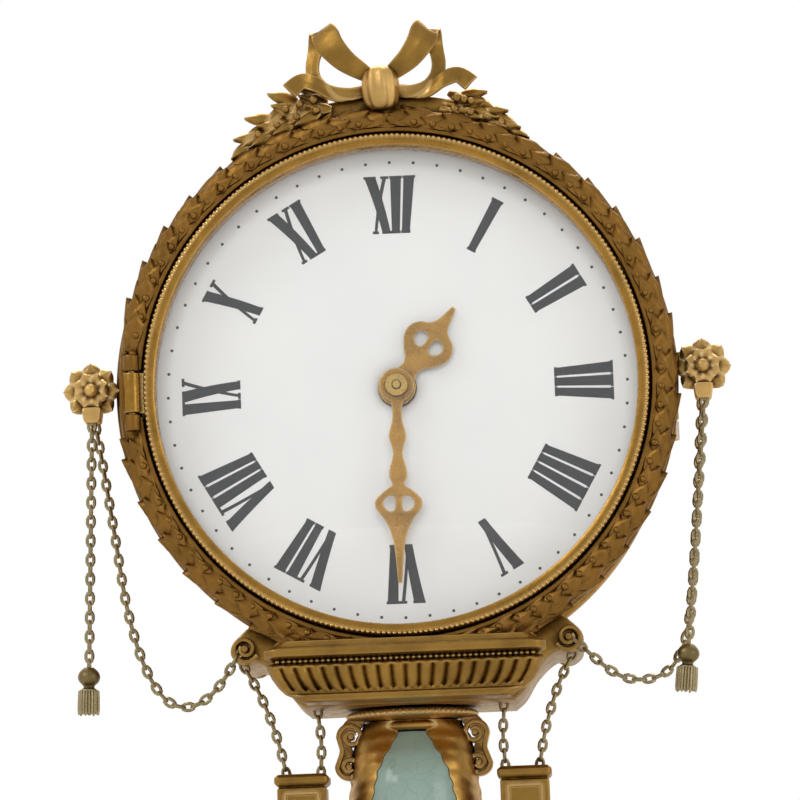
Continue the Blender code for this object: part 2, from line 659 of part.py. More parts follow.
# the bow and leaf crest on top of the ring, its right half as (degrees from the top, distance outside it)

CREST_GAP = 0.4
CREST = [(31, CREST_GAP), (30.6, 1.9), (27.1, 1.9), (23.9, 3.8), (20.3, 3.2), (18.3, 4.9), (15, 4.4),
         (11.8, 5.5), (12, 9.4), (10.6, 13), (8, 14.8), (5.3, 14.2), (3.3, 11.2), (2.3, 8.1)]
leaves = around(RING_RADIUS, CREST, 1)
crest = leaves + mirrored(leaves)
crest += arc((0, 0), RING_RADIUS + CREST_GAP, math.radians(121), math.radians(59), 17)[1:-1]
LOOP_X, LOOP_Z = 7.7, RING_RADIUS + 9.5
loops = []
for s in (-1, 1):
    loops.append([(s * (LOOP_X + 1.9 * x), LOOP_Z + 2.9 * z) for x, z in circle(1, 12)])
CREST_BACK = RING_BACK - 1.1
stack("bow_crest", GILT, [(CREST_BACK - CREST_DEPTH, CREST_BACK, crest, loops)])

# the side rosettes, each with a lug below for a tassel's chain and a swag

LUG_DROP = ROSETTE_RADIUS + 0.9
ROSETTE_BACK = RING_BACK + 0.5
petals = []
for k in range(37):
    a = math.radians(-72 + 9 * k)
    r = ROSETTE_RADIUS - 0.5 + 0.5 * math.cos(8 * a)
    petals.append((r * math.cos(a), r * math.sin(a)))
rosette = petals + [(-1.4, -LUG_DROP), (1.4, -LUG_DROP)]
for side, sx in (("left", -1), ("right", 1)):
    outline = moved(rosette, (sx * ROSETTE_X, ROSETTE_Z))
    stack(f"rosette_{side}", GILT, [(ROSETTE_BACK - ROSETTE_DEPTH, ROSETTE_BACK, outline, [])])

# the chains: a tassel's chain and a swag on each side, and two short ones down to each side cap

HANG_Y = ROSETTE_BACK - 4.6
HANG_TOP = ROSETTE_Z - LUG_DROP - 0.4
HANG_LOW = -48.2
TASSEL = [(0.38, 0), (0.81, -0.11), (0.95, -0.24), (0.71, -0.38), (0.52, -0.43), (0.76, -0.51), (1, -1)]
TASSEL_RADIUS = 2.1
for side, sx, foot in (("left", -1, -56.5), ("right", 1, 50.2)):
    top = Vector((sx * ROSETTE_X, HANG_Y, HANG_TOP))
    low = Vector((foot, HANG_Y, HANG_LOW))
    chain(f"tassel_chain_{side}", [top.lerp(low, k / 8) for k in range(9)])
    tassel = turned(f"tassel_{side}", GILT, profile(TASSEL_RADIUS, 0, TASSEL_LENGTH, TASSEL), 10)
    lean = math.atan2(low.x - top.x, top.z - low.z)
    below = low + (low - top).normalized() * GAP + Vector((0, 0, DIAL_Z))
    tassel.data.transform(Matrix.Translation(below * MM) @ Matrix.Rotation(-lean, 4, "Y"))
    pivot = (top.x, top.y, DIAL_Z + top.z + 0.2)
    turning(f"tassel_{side}_swing", pivot, f"tassel_chain_{side}", f"tassel_{side}")

SWAG_Y = ROSETTE_BACK - 1
SWAGS = {
    "left": [(-54.4, -5.2), (-53.0, -14.7), (-51.5, -25.5), (-49.7, -38.2), (-47.0, -48.2), (-43.3, -54.5),
             (-38.8, -55.9), (-34.2, -53.0), (-29.8, -46.6)],
    "right": [(54.4, -5.2), (53.6, -14.0), (52.6, -26.0), (51.2, -39.0), (49.6, -47.5), (46.6, -52.6),
              (42.0, -54.2), (36.8, -52.8), (29.8, -46.6)],
}
for side, points in SWAGS.items():
    chain(f"swag_chain_{side}", smooth([(x, SWAG_Y, z) for x, z in points], 3.6))

# the short chains, as (X, Y, share of the way down from the cradle to the side cap)
CAP_Z = GAP - CAP_DROP
OUTER = (CRADLE_LOW + 7.8, [(29.4, -12.0, 0), (26.6, -10.6, 0.29), (24.2, -8.6, 0.66), (22.8, -7.0, 1)])
INNER = (CRADLE_LOW - GAP, [(16.8, COLUMN_Y, 0), (16.4, COLUMN_Y, 0.5), (16.6, COLUMN_Y, 1)])
for side, sx in (("left", -1), ("right", 1)):
    for name, (top, points) in (("outer", OUTER), ("inner", INNER)):
        route = [(sx * x, y, top + (CAP_Z - top) * share) for x, y, share in points]
        chain(f"{name}_chain_{side}", smooth(route, 3.0))

# the enamel dial, slightly domed

DIAL_HOLE = 3.4
DIAL_EDGE = DIAL_BACK - DIAL_THICKNESS
dial = [(DIAL_HOLE, DIAL_BACK), (DIAL_RADIUS, DIAL_BACK)]
dial += [(DIAL_RADIUS * s, DIAL_EDGE - DIAL_RISE * (1 - s * s)) for s in (1, 0.75, 0.44)]
dial += [(DIAL_HOLE, DIAL_FRONT)]
turned("dial", ENAMEL, dial, 40, "Y", (0, 0, DIAL_Z), bored=True)

# the hands: each is a hub on its pipe and a pierced blade, as (half width, share of the hand's length)

CANNON_RADIUS = 1.2
HOUR_PIPE = 2.3
HOUR_BLADE = [(1.2, 0.32), (2.4, 0.386), (3.9, 0.477), (4.3, 0.59), (3.2, 0.68), (1.6, 0.705), (0.9, 0.795),
              (0.35, 1)]
MINUTE_BLADE = [(0.75, 0.534), (2.4, 0.55), (3.9, 0.584), (3.2, 0.635), (1.8, 0.69), (0.9, 0.77), (0.3, 1)]
HOUR_OPENING = [(0.5, 0.455), (2, 0.455), (2.8, 0.545), (1.9, 0.625), (0.5, 0.625)]


def hand(name, length, angle, front, back, hub, bore, neck, blade, openings):
    root = (neck, math.sqrt(hub * hub - neck * neck))
    half = [root] + [(w, length * s) for w, s in blade]
    gap = math.asin(neck / hub)
    round_hub = arc((0, 0), hub, math.pi / 2 + gap, 5 * math.pi / 2 - gap, 15)[1:-1]
    holes = [circle(bore, 16)]
    for s in (-1, 1):
        holes += [[(s * w, length * h) for w, h in opening] for opening in openings]
    turned_holes = [clockwise(h, angle) for h in holes]
    stack(name, GILT, [(front, back, clockwise(half + mirrored(half) + round_hub, angle), turned_holes)])


hand("hour_hand", HOUR_LENGTH, HOUR_ANGLE, HOUR_FRONT, HOUR_BACK, 3.4, HOUR_PIPE + PIN_PLAY, 1.4,
     HOUR_BLADE, [HOUR_OPENING])
hand("minute_hand", MINUTE_LENGTH, MINUTE_ANGLE, MINUTE_FRONT, MINUTE_BACK, 3.1, CANNON_RADIUS + PIN_PLAY,
     0.9, MINUTE_BLADE, [])
ARBOR_RADIUS = 0.7
COLLET = [(ARBOR_RADIUS + 0.2, -0.9), (2.0, -0.9), (2.2, -0.2), (ARBOR_RADIUS + 0.2, -0.2)]
collet = [(r, MINUTE_FRONT + y) for r, y in COLLET]
turned("hand_collet", BRASS, collet, 16, "Y", (0, 0, DIAL_Z), bored=True)

# where the arbors stand, from the dial's centre

CENTRE = (0.0, 0.0)
BARREL = beyond(CENTRE, BARREL_TO_CENTRE + math.pi, (BARREL_TEETH + CENTRE_LEAVES) * BARREL_MODULE / 2)
THIRD = beyond(CENTRE, CENTRE_TO_THIRD, (CENTRE_TEETH + THIRD_LEAVES) * CENTRE_MODULE / 2)
FOURTH = beyond(THIRD, THIRD_TO_FOURTH, (THIRD_TEETH + FOURTH_LEAVES) * THIRD_MODULE / 2)
ESCAPE = beyond(FOURTH, FOURTH_TO_ESCAPE, (FOURTH_TEETH + ESCAPE_LEAVES) * FOURTH_MODULE / 2)
LEVER = beyond(ESCAPE, ESCAPE_TO_LEVER, LEVER_DISTANCE)
BALANCE = beyond(LEVER, ESCAPE_TO_LEVER, BALANCE_DISTANCE)
MINUTE = beyond(CENTRE, CENTRE_TO_MINUTE, (CANNON_LEAVES + MINUTE_TEETH) * CANNON_MODULE / 2)
CLICK = (BARREL[0] + 9.2, BARREL[1] + 6.3)


def about(point):
    return (point[0], 0, DIAL_Z + point[1])


def depths(start, layers):
    """Layers whose depths are counted from start."""
    return [(start + low, start + high, outline, holes) for low, high, outline, holes in layers]


SMALL_PIVOT = 0.45


def arbor(name, look, centre, wheels, radius=0.6):
    """An arbor with a pivot in each plate, and its pinion and wheel as layers behind the front plate."""
    shaft, pivot = circle(radius, 10), circle(SMALL_PIVOT, 10)
    layers = [(WORKS_FRONT - 1.5, WORKS_FRONT + GAP, pivot, [])]
    reached = WORKS_FRONT + GAP
    for start, end, outline, holes in depths(WORKS_FRONT, wheels):
        layers += [(reached, start, shaft, []), (start, end, outline, holes)]
        reached = end
    layers += [(reached, WORKS_BACK - GAP, shaft, []), (WORKS_BACK - GAP, WORKS_BACK + 1.5, pivot, [])]
    stack(name, look, layers, centre=about(centre))
    turning(f"{name}_turn", about(centre), name)


# the plates and pillars

CENTRE_SHAFT = 0.9
BARREL_SHAFT = 1.5
BARREL_NECK = 1.3
SMALL_PIVOTS = (THIRD, FOURTH, ESCAPE, LEVER, BALANCE)
small_hole = SMALL_PIVOT + PIVOT_PLAY
front_holes = [circle(small_hole, 10, p) for p in (*SMALL_PIVOTS, MINUTE)]
front_holes += [circle(ARBOR_RADIUS + 0.25, 12), circle(BARREL_SHAFT - 0.6 + 0.25, 12, BARREL)]
plate_rim = (PLATE_RIM, FRONT_PLATE_Y, circle(DRUM_INSIDE - 0.7, 32), [circle(DIAL_RADIUS - 2.2, 32)])
plate = (FRONT_PLATE_Y, WORKS_FRONT, circle(DRUM_INSIDE - 0.4, 32), front_holes)
stack("front_plate", BRASS, [plate_rim, plate])
CLICK_STUD = 0.8
back_holes = [circle(small_hole, 10, p) for p in (*SMALL_PIVOTS, CENTRE)]
back_holes += [circle(BARREL_NECK + 0.25, 12, BARREL), circle(CLICK_STUD + PIVOT_PLAY, 12, CLICK)]
stack("back_plate", BRASS, [(WORKS_BACK, BACK_PLATE_END, circle(BACK_PLATE_RADIUS, 32), back_holes)])

PILLAR = [(0, 0.2), (0, 1.5), (0.6, 2.5), (1, PLATE_SPACE / 2), (0.6, PLATE_SPACE - 2.5),
          (0, PLATE_SPACE - 1.5), (0, PLATE_SPACE - 0.2)]
pillar = [(PILLAR_RADIUS + out, WORKS_FRONT + y) for out, y in PILLAR]
for number, degrees in enumerate((-34, 214, 115), 1):
    spot = beyond(CENTRE, math.radians(degrees), PILLAR_CIRCLE)
    turned(f"pillar_{number}", BRASS, pillar, 10, "Y", about(spot))

# power: the spring barrel, its mainspring, the winding arbor with its ratchet, the click and the key

BARREL_FLOOR = WORKS_FRONT + 3.1
BARREL_END = WORKS_BACK - 1.3
BARREL_RING = WORKS_FRONT + 9.4
BARREL_RING_WIDTH = 2.0
barrel_phase = 0.0
barrel_root = BARREL_TEETH * BARREL_MODULE / 2 - 1.7
bore, cup, shell = circle(BARREL_SHAFT + GAP, 16), circle(barrel_root - 1.1, 32), circle(barrel_root, 32)
barrel_teeth = gear(BARREL_TEETH, BARREL_MODULE, barrel_phase)
ring_end = BARREL_RING + BARREL_RING_WIDTH
stack(
    "barrel",
    BRASS,
    [(BARREL_FLOOR, BARREL_FLOOR + 1.2, shell, [bore]), (BARREL_FLOOR + 1.2, BARREL_RING, shell, [cup]),
     (BARREL_RING, ring_end, barrel_teeth, [cup]), (ring_end, BARREL_END, shell, [cup])],
    centre=about(BARREL),
)
coil = spiral(BARREL_SHAFT + 0.9, barrel_root - 1.7, 4, 0.5, 12)
stack("mainspring", STEEL, [(BARREL_FLOOR + 1.6, BARREL_END - 1, coil, [])], centre=about(BARREL))
turning("barrel_turn", about(BARREL), "barrel", "mainspring")

ratchet = []
for k in range(24):
    a = 2 * math.pi * k / 24
    ratchet += [beyond(CENTRE, a, RATCHET_RADIUS), beyond(CENTRE, a + 0.02, RATCHET_RADIUS - 0.8)]
square = circle(1.7, 4)
behind = depths(
    BACK_PLATE_END,
    [(0.4, 1.4, ratchet, []), (1.4, 1.9, circle(2.1, 12), []), (1.9, 6.4, square, [])],
)
stack(
    "barrel_arbor",
    STEEL,
    [(WORKS_FRONT - 1.5, WORKS_FRONT + GAP, circle(BARREL_SHAFT - 0.6, 12), []),
     (WORKS_FRONT + GAP, WORKS_BACK - GAP, circle(BARREL_SHAFT, 12), []),
     (WORKS_BACK - GAP, BACK_PLATE_END + 0.4, circle(BARREL_NECK, 12), []), *behind],
    centre=about(BARREL),
)
tip = math.sqrt((RATCHET_RADIUS + 0.25) ** 2 - 1.6 ** 2)
beak = moved([(1.6, tip), (1.7, tip + 0.66), (3.4, tip + 1.26)], BARREL)
click = beak + arc(CLICK, 1.6, math.radians(115), math.radians(-100), 12)
stud = circle(CLICK_STUD, 12, CLICK)
stack("click", STEEL, depths(BACK_PLATE_END, [(-1.5, GAP, stud, []), (GAP, 1.4, click, [])]))
turning("click_lift", about(CLICK), "click")

socket = circle(1.95, 4)
key_pipe = [(2.3, 6.7, circle(2.9, 16), [socket]), (6.7, 7.4, circle(2.7, 16), [])]
key_layers = depths(BACK_PLATE_END, key_pipe)
key = stack("winding_key", STEEL, key_layers, centre=about(BARREL))
WING = [(1.9, 6.9), (4.6, 6.1), (6.8, 6.9), (7.2, 8.5), (6.2, 10.1), (4.2, 10.2), (1.6, 9.4)]
wing = moved(WING, (0, BACK_PLATE_END))
worked(key, [stack("tool", STEEL, [(-0.7, 0.7, wing + mirrored(wing), [])], "Z", about(BARREL))], "UNION")
turning("winding", about(BARREL), "barrel_arbor", "winding_key")

# the going train, each wheel in mesh with the pinion it drives

centre_phase = meshing(BARREL_TO_CENTRE, barrel_phase, BARREL_TEETH, CENTRE_LEAVES)
centre_leaves = gear(CENTRE_LEAVES, BARREL_MODULE, centre_phase, True)
centre_teeth = gear(CENTRE_TEETH, CENTRE_MODULE, 0)
centre_shaft = circle(CENTRE_SHAFT, 12)
centre_layers = depths(
    WORKS_FRONT,
    [(GAP, 1.3, centre_shaft, []), (1.3, 2.3, centre_teeth, spokes(4, 3.0, 9.4, 1.6)),
     (2.3, 8.4, centre_shaft, []), (8.4, 13.0, centre_leaves, []),
     (13.0, PLATE_SPACE - GAP, centre_shaft, []),
     (PLATE_SPACE - GAP, PLATE_SPACE + 1.5, circle(SMALL_PIVOT, 10), [])],
)
front_end = (MINUTE_FRONT - 1.2, WORKS_FRONT + GAP, circle(ARBOR_RADIUS, 12), [])
stack("centre_wheel", BRASS, [front_end, *centre_layers])

third_phase = meshing(CENTRE_TO_THIRD, 0, CENTRE_TEETH, THIRD_LEAVES)
third_leaves = gear(THIRD_LEAVES, CENTRE_MODULE, third_phase, True)
third_teeth = gear(THIRD_TEETH, THIRD_MODULE, 0)
arbor("third_wheel", BRASS, THIRD,
      [(0.6, 3.0, third_leaves, []), (5.0, 5.9, third_teeth, spokes(4, 2.4, 7.6, 1.4))])

fourth_phase = meshing(THIRD_TO_FOURTH, 0, THIRD_TEETH, FOURTH_LEAVES)
fourth_leaves = gear(FOURTH_LEAVES, THIRD_MODULE, fourth_phase, True)
fourth_teeth = gear(FOURTH_TEETH, FOURTH_MODULE, 0)
arbor("fourth_wheel", BRASS, FOURTH,
      [(4.3, 6.6, fourth_leaves, []), (9.9, 10.7, fourth_teeth, spokes(4, 2.2, 7.8, 1.3))])

escape_phase = meshing(FOURTH_TO_ESCAPE, 0, FOURTH_TEETH, ESCAPE_LEAVES)
escape_leaves = gear(ESCAPE_LEAVES, FOURTH_MODULE, escape_phase, True)
CLUB = ((-1.3, -0.09), (0, 0.02), (-0.25, 0.14), (-1.3, 0.07))
club = []
for k in range(ESCAPE_TEETH):
    club += [beyond(CENTRE, 2 * math.pi * k / ESCAPE_TEETH + a, ESCAPE_RADIUS + r) for r, a in CLUB]
arbor("escape_wheel", STEEL, ESCAPE,
      [(5.1, 5.9, club, spokes(4, 1.4, ESCAPE_RADIUS - 2, 0.8)), (9.1, 11.5, escape_leaves, [])], 0.5)

# the lever with its two pallets and fork, the balance, and the hairspring pinned to the back plate

LEVER_SIDE = [(0.6, -0.9), (3.1, -0.5), (3.9, -1.75), (4.4, -1.6), (3.6, 0.3), (0.5, 1.2), (0.45, 5.4),
              (1.1, 6.2), (0.7, 6.5), (0.3, 5.9)]
lever = clockwise(LEVER_SIDE + mirrored(LEVER_SIDE), math.pi / 2 - ESCAPE_TO_LEVER)
arbor("pallet_lever", STEEL, LEVER, [(5.1, 5.9, lever, [])], 0.5)
balance = circle(BALANCE_RADIUS, 28)
balance_arms = spokes(3, 1.5, BALANCE_RADIUS - 1.3, 1.0)
arbor("balance_wheel", BRASS, BALANCE,
      [(5.1, 5.9, circle(1.0, 12), []), (10.5, 11.7, balance, balance_arms)], 0.5)
COIL_END = 4.0
coil = depths(WORKS_FRONT, [(12.7, 13.2, spiral(1.1, COIL_END, 4, 0.16, 12), [])])
hairspring = stack("hairspring", BLUED, coil, centre=about(BALANCE))
stud = [(0.4, WORKS_FRONT + 12.5), (0.4, WORKS_BACK - 0.2)]
stud = turned("tool", BLUED, stud, 8, "Y", about((BALANCE[0] + COIL_END, BALANCE[1])))
worked(hairspring, [stud], "UNION")

# the motion work under the dial, which turns the hour hand from the minute hand. Depths are from the plate.

cannon_bore = circle(ARBOR_RADIUS + 0.18, 12)
cannon_leaves = gear(CANNON_LEAVES, CANNON_MODULE, 0, True)
cannon = depths(FRONT_PLATE_Y, [(-2.1, -0.6, cannon_leaves, [cannon_bore])])
cannon_pipe = (MINUTE_FRONT - 0.15, FRONT_PLATE_Y - 2.1, circle(CANNON_RADIUS, 12), [cannon_bore])
stack("cannon_pinion", STEEL, [cannon_pipe, *cannon])

minute_teeth = gear(MINUTE_TEETH, CANNON_MODULE, meshing(CENTRE_TO_MINUTE, 0, CANNON_LEAVES, MINUTE_TEETH))
minute_leaves = gear(MINUTE_LEAVES, HOUR_MODULE, 0, True)
minute_layers = depths(
    FRONT_PLATE_Y,
    [(-4.5, -4.1, circle(0.5, 10), []), (-4.1, -2.5, minute_leaves, []), (-2.5, -1.9, circle(0.7, 10), []),
     (-1.9, -0.9, minute_teeth, []), (-0.9, -GAP, circle(0.9, 10), []),
     (-GAP, 1.5, circle(SMALL_PIVOT, 10), [])],
)
stack("minute_wheel", BRASS, minute_layers, centre=about(MINUTE))

hour_phase = meshing(CENTRE_TO_MINUTE + math.pi, 0, MINUTE_LEAVES, HOUR_TEETH)
hour_teeth = gear(HOUR_TEETH, HOUR_MODULE, hour_phase)
hour_bore = circle(CANNON_RADIUS + 0.45, 16)
hour_pipe = (HOUR_FRONT - 0.1, FRONT_PLATE_Y - 3.8, circle(HOUR_PIPE, 16), [hour_bore])
stack("hour_wheel", BRASS, [hour_pipe, *depths(FRONT_PLATE_Y, [(-3.8, -3.0, hour_teeth, [hour_bore])])])

turning("minute_hand_turn", about(CENTRE), "centre_wheel", "cannon_pinion", "minute_hand", "hand_collet")
turning("hour_hand_turn", about(CENTRE), "hour_wheel", "hour_hand")
turning("minute_wheel_turn", about(MINUTE), "minute_wheel")
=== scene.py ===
from math import asin, atan2, cos, degrees, hypot, pi, radians, sin, sqrt, tau

import bmesh
import bpy
from mathutils import Matrix, Vector


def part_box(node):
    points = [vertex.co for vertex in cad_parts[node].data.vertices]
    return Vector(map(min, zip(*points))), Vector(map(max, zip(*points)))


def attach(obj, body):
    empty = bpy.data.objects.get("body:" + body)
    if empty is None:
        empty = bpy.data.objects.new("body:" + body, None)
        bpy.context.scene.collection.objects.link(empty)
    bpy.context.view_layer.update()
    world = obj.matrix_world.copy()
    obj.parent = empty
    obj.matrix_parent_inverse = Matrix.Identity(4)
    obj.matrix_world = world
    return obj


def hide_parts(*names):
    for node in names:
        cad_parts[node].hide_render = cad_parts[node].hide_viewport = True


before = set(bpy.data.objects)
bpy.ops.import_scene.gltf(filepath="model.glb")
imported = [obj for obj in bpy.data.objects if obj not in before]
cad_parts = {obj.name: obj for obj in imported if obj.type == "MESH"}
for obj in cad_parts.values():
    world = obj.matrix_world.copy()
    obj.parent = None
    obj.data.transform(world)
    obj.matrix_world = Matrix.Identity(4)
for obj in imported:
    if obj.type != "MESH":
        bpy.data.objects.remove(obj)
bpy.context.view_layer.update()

# The four feet: toupie feet of cast bronze, turned, gadrooned and fire-gilt, screwed up into the base frame.
# Sizes in this file are millimetres, X and Y from the clock's middle and Z from the table, until a finished
# piece is scaled to metres.

MM = 0.001
# points closer than MERGE become one, which closes a pole, and edges sharper than CREASE stay sharp
MERGE, POLE, CREASE = 0.012, 0.004, radians(38)


def box_of(node):
    """A CAD node's lowest and highest corners in millimetres."""
    return [[round(c / MM, 2) for c in corner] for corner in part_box(node)]


def middle_of(node):
    """The middle of a CAD node's box in millimetres."""
    return [(low + high) / 2 for low, high in zip(*box_of(node))]


def linear(colour):
    """A hex sRGB colour such as B98F4E as linear red, green, blue and an alpha of 1."""
    parts = [int(colour[i:i + 2], 16) / 255 for i in (0, 2, 4)]
    return (*[c / 12.92 if c <= 0.04045 else ((c + 0.055) / 1.055) ** 2.4 for c in parts], 1.0)


def feed(tree, node, inputs):
    """Sets a node's inputs to constants, or links them from sockets or from nodes' first outputs in use."""
    for key, value in inputs.items():
        if isinstance(value, bpy.types.Node):
            value = next(socket for socket in value.outputs if socket.enabled)
        if isinstance(value, bpy.types.NodeSocket):
            tree.links.new(value, node.inputs[key])
        else:
            node.inputs[key].default_value = value


def add(tree, kind, inputs=None, **settings):
    """Adds a node with its settings and inputs."""
    node = tree.nodes.new(kind)
    for key, value in settings.items():
        setattr(node, key, value)
    feed(tree, node, inputs or {})
    return node


def finish_for(name):
    """A new material with its node tree, its shader and the Object coordinates that patterns read."""
    look = bpy.data.materials.new(name)
    look.use_nodes = True
    tree = look.node_tree
    return look, tree, tree.nodes["Principled BSDF"], add(tree, "ShaderNodeTexCoord").outputs["Object"]


def rippled(tree, where, size, detail, strength, depth):
    """A bump of small waves, with their size and depth in millimetres."""
    waves = add(tree, "ShaderNodeTexNoise", {"Vector": where, "Scale": 1 / (size * MM), "Detail": detail})
    return add(tree, "ShaderNodeBump", {"Height": waves, "Strength": strength, "Distance": depth * MM})


def on_edges(tree, reach, most):
    """A share that rises to its most on edges, and starts at their reach in millimetres."""
    near = add(tree, "ShaderNodeAmbientOcclusion",
               {"Distance": reach * MM}, samples=6, inside=True, only_local=True)
    return add(tree, "ShaderNodeMapRange",
               {"Value": near.outputs["AO"], "From Min": 0.92, "From Max": 0.50, "To Max": most})


def gilding(name, gold, worn_and_highlit_gold, brown, rough, handled=0.75):
    """Fire-gilt bronze: warm gold, rubbed pale on handled edges, and brown in hollows as dirt and as painted
    shade.
    """
    # a Mix of colours takes its share at input 0 and the colours at 6 and 7
    look, tree, shader, where = finish_for(name)
    cloud = add(tree, "ShaderNodeTexNoise", {"Vector": where, "Scale": 1 / (6 * MM), "Detail": 5.0})
    speck = add(tree, "ShaderNodeTexNoise", {"Vector": where, "Scale": 1 / (1.1 * MM), "Detail": 4.0})
    old = add(tree, "ShaderNodeMapRange",
              {"Value": cloud, "From Min": 0.40, "From Max": 0.68, "To Max": 0.38})
    stain = add(tree, "ShaderNodeMix", {0: old, 6: linear(gold), 7: linear(brown)}, data_type="RGBA")
    # brown in the hollows is partly dirt and partly painted shade, from ambient occlusion where light reaches
    # less
    hollow = add(tree, "ShaderNodeAmbientOcclusion", {"Distance": 2.2 * MM}, samples=6)
    shade_and_dirt = add(tree, "ShaderNodeMapRange",
               {"Value": hollow.outputs["AO"], "From Min": 0.92, "From Max": 0.42})
    speckled_shade_and_dirt = add(tree, "ShaderNodeMath", {0: shade_and_dirt, 1: speck}, operation="MULTIPLY")
    dense_shade_and_dirt = add(tree, "ShaderNodeMath", {0: speckled_shade_and_dirt, 1: 1.7}, operation="MULTIPLY", use_clamp=True)
    shaded_and_soiled = add(tree, "ShaderNodeMix", {0: dense_shade_and_dirt, 6: stain, 7: linear(brown)}, data_type="RGBA")
    colour = add(tree, "ShaderNodeMix",
                 {0: on_edges(tree, 0.45, handled), 6: shaded_and_soiled, 7: linear(worn_and_highlit_gold)}, data_type="RGBA")
    gloss = add(tree, "ShaderNodeMapRange",
                {"Value": speck, "From Min": 0.3, "From Max": 0.7,
                 "To Min": rough - 0.09, "To Max": rough + 0.12})
    # the chasing tools leave a finer grain than this, which is drawn coarser to show
    chased = rippled(tree, where, 0.4, 2.0, 0.25, 0.05)
    feed(tree, shader, {"Base Color": colour, "Metallic": 1.0,
                        "Roughness": gloss, "Normal": chased})
    return look


# gilt bronze left matt from the fire: a soft, deep gold with pale edges and dark hollows
gilt = gilding("gilt_bronze_matt", "AC8440", "E2BC7C", "382610", 0.40)


def pairs(items, closed):
    """Each item with the next one, and the last with the first where they close."""
    return list(zip(items, items[1:])) + ([(items[-1], items[0])] if closed else [])


def eased(points, radius, closed=False):
    """An outline with each corner rounded by up to the given radius."""
    made = []
    for i, corner in enumerate(points):
        corner = Vector(corner)
        if not closed and i in (0, len(points) - 1):
            made.append(corner)
            continue
        before, after = (Vector(points[k % len(points)]) - corner for k in (i - 1, i + 1))
        start, end = (corner + way.normalized() * min(radius, way.length * 0.45) for way in (before, after))
        made += [start * (1 - t) ** 2 + corner * 2 * t * (1 - t) + end * t * t for t in (0, 0.33, 0.67, 1)]
    return made


def flowing(points, steps, closed=False):
    """A smooth line through the given points, with that many steps from each to the next."""
    points = [Vector(p) for p in points]
    first, last = 2 * points[0] - points[1], 2 * points[-1] - points[-2]
    ends = [points[-1], *points, *points[:2]] if closed else [first, *points, last]
    line = []
    for a, b, c, d in zip(ends, ends[1:], ends[2:], ends[3:]):
        for t in (k / steps for k in range(steps)):
            bend = (2 * a - 5 * b + 4 * c - d) * t * t + (3 * b - a - 3 * c + d) * t * t * t
            line.append(0.5 * (2 * b + (c - a) * t + bend))
    return line if closed else line + [points[-1]]


def loft(shape, rings, closed=False):
    """Adds a skin over rings of points, with flat ends unless the rings close on themselves."""
    rings = [[shape.verts.new(p) for p in ring] for ring in rings]
    for low, high in pairs(rings, closed):
        for i in range(len(low)):
            shape.faces.new((low[i - 1], low[i], high[i], high[i - 1]))
    if not closed:
        shape.faces.new(rings[0])
        shape.faces.new(rings[-1])


def spun(shape, profile, count, centre=(0, 0, 0), axis="Z", closed=False, swell=None):
    """Adds a turned form from (radius, distance along its axis), with a swell that scales the radius."""
    rings = []
    for radius, along in profile:
        ring = []
        for turn in (tau * i / count for i in range(count)):
            reach = max(radius, POLE) * (swell(turn, along) if swell else 1)
            u, v = reach * cos(turn), reach * sin(turn)
            ring.append(Vector(centre) + Vector((u, v, along) if axis == "Z" else (u, along, v)))
        rings.append(ring)
    loft(shape, rings, closed)


def gadroons(lobes, depth, valley, middle, half):
    """A swell of lobes round a turned form, which fades out half above and below a middle height."""
    def swell(turn, height):
        lobe = abs(cos(lobes / 2 * turn)) - valley
        return 1 + depth * lobe * max(0, 1 - abs(height - middle) / half)
    return swell


def as_object(name, shape):
    """An object of the scene with a shape as its mesh."""
    mesh = bpy.data.meshes.new(name)
    shape.to_mesh(mesh)
    made = bpy.data.objects.new(name, mesh)
    bpy.context.scene.collection.objects.link(made)
    return made


def piece(name, shape, look, *nodes, body="case", slot="gilt_bronze"):
    """Makes a finished piece of a shape in millimetres, on its body and in place of its CAD nodes."""
    bmesh.ops.remove_doubles(shape, verts=shape.verts, dist=MERGE)
    bmesh.ops.recalc_face_normals(shape, faces=shape.faces)
    bmesh.ops.scale(shape, vec=(MM, MM, MM), verts=shape.verts)
    made = as_object(name, shape)
    shape.free()
    made.data.materials.append(look)
    made.data.shade_smooth()
    made.data.set_sharp_from_angle(angle=CREASE)
    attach(made, body)
    if nodes:
        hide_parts(*nodes)
    return made


FOOT = [(0, 0), (2.9, 0), (3.5, 0.3), (3.8, 1.0), (3.3, 1.6), (3.0, 2.2), (4.4, 3.2), (5.5, 4.4),
        (5.8, 6.0), (5.4, 7.0), (4.3, 7.7), (4.3, 8.2), (4.7, 8.5), (4.7, 9.0), (0, 9.0)]
FEET = [f"foot_{end}_{side}" for end in ("front", "back") for side in ("left", "right")]
feet = bmesh.new()
for node in FEET:
    x, y, _ = middle_of(node)
    spun(feet, eased(FOOT, 0.3), 60, (x, y, 0), swell=gadroons(12, 0.05, 0.4, middle=5, half=2.2))
piece("feet", feet, gilt, *FEET)

# The base frame: a moulded bronze frame, cast, filed and fire-gilt, with a row of beads round its edge.
# The celadon slab lies on it.


def rounded(half_x, half_y, corner, z, centre=(0, 0), per_corner=8, per_side=14):
    """A rectangle with round corners at height z."""
    arcs = []
    for k, (sx, sy) in enumerate(((1, 1), (-1, 1), (-1, -1), (1, -1))):
        middle = Vector((centre[0] + sx * (half_x - corner), centre[1] + sy * (half_y - corner), z))
        turns = [pi / 2 * (k + i / (per_corner - 1)) for i in range(per_corner)]
        arcs.append([middle + corner * Vector((cos(a), sin(a), 0)) for a in turns])
    ring = []
    for here, after in pairs(arcs, closed=True):
        ring += here + [here[-1].lerp(after[0], j / per_side) for j in range(1, per_side)]
    return ring


def moulded(shape, half_x, half_y, corner, profile, centre=(0, 0)):
    """Adds a block with moulded sides from (inset, height)."""
    loft(shape, [rounded(half_x - i, half_y - i, max(corner - i, 0.3), z, centre) for i, z in profile])


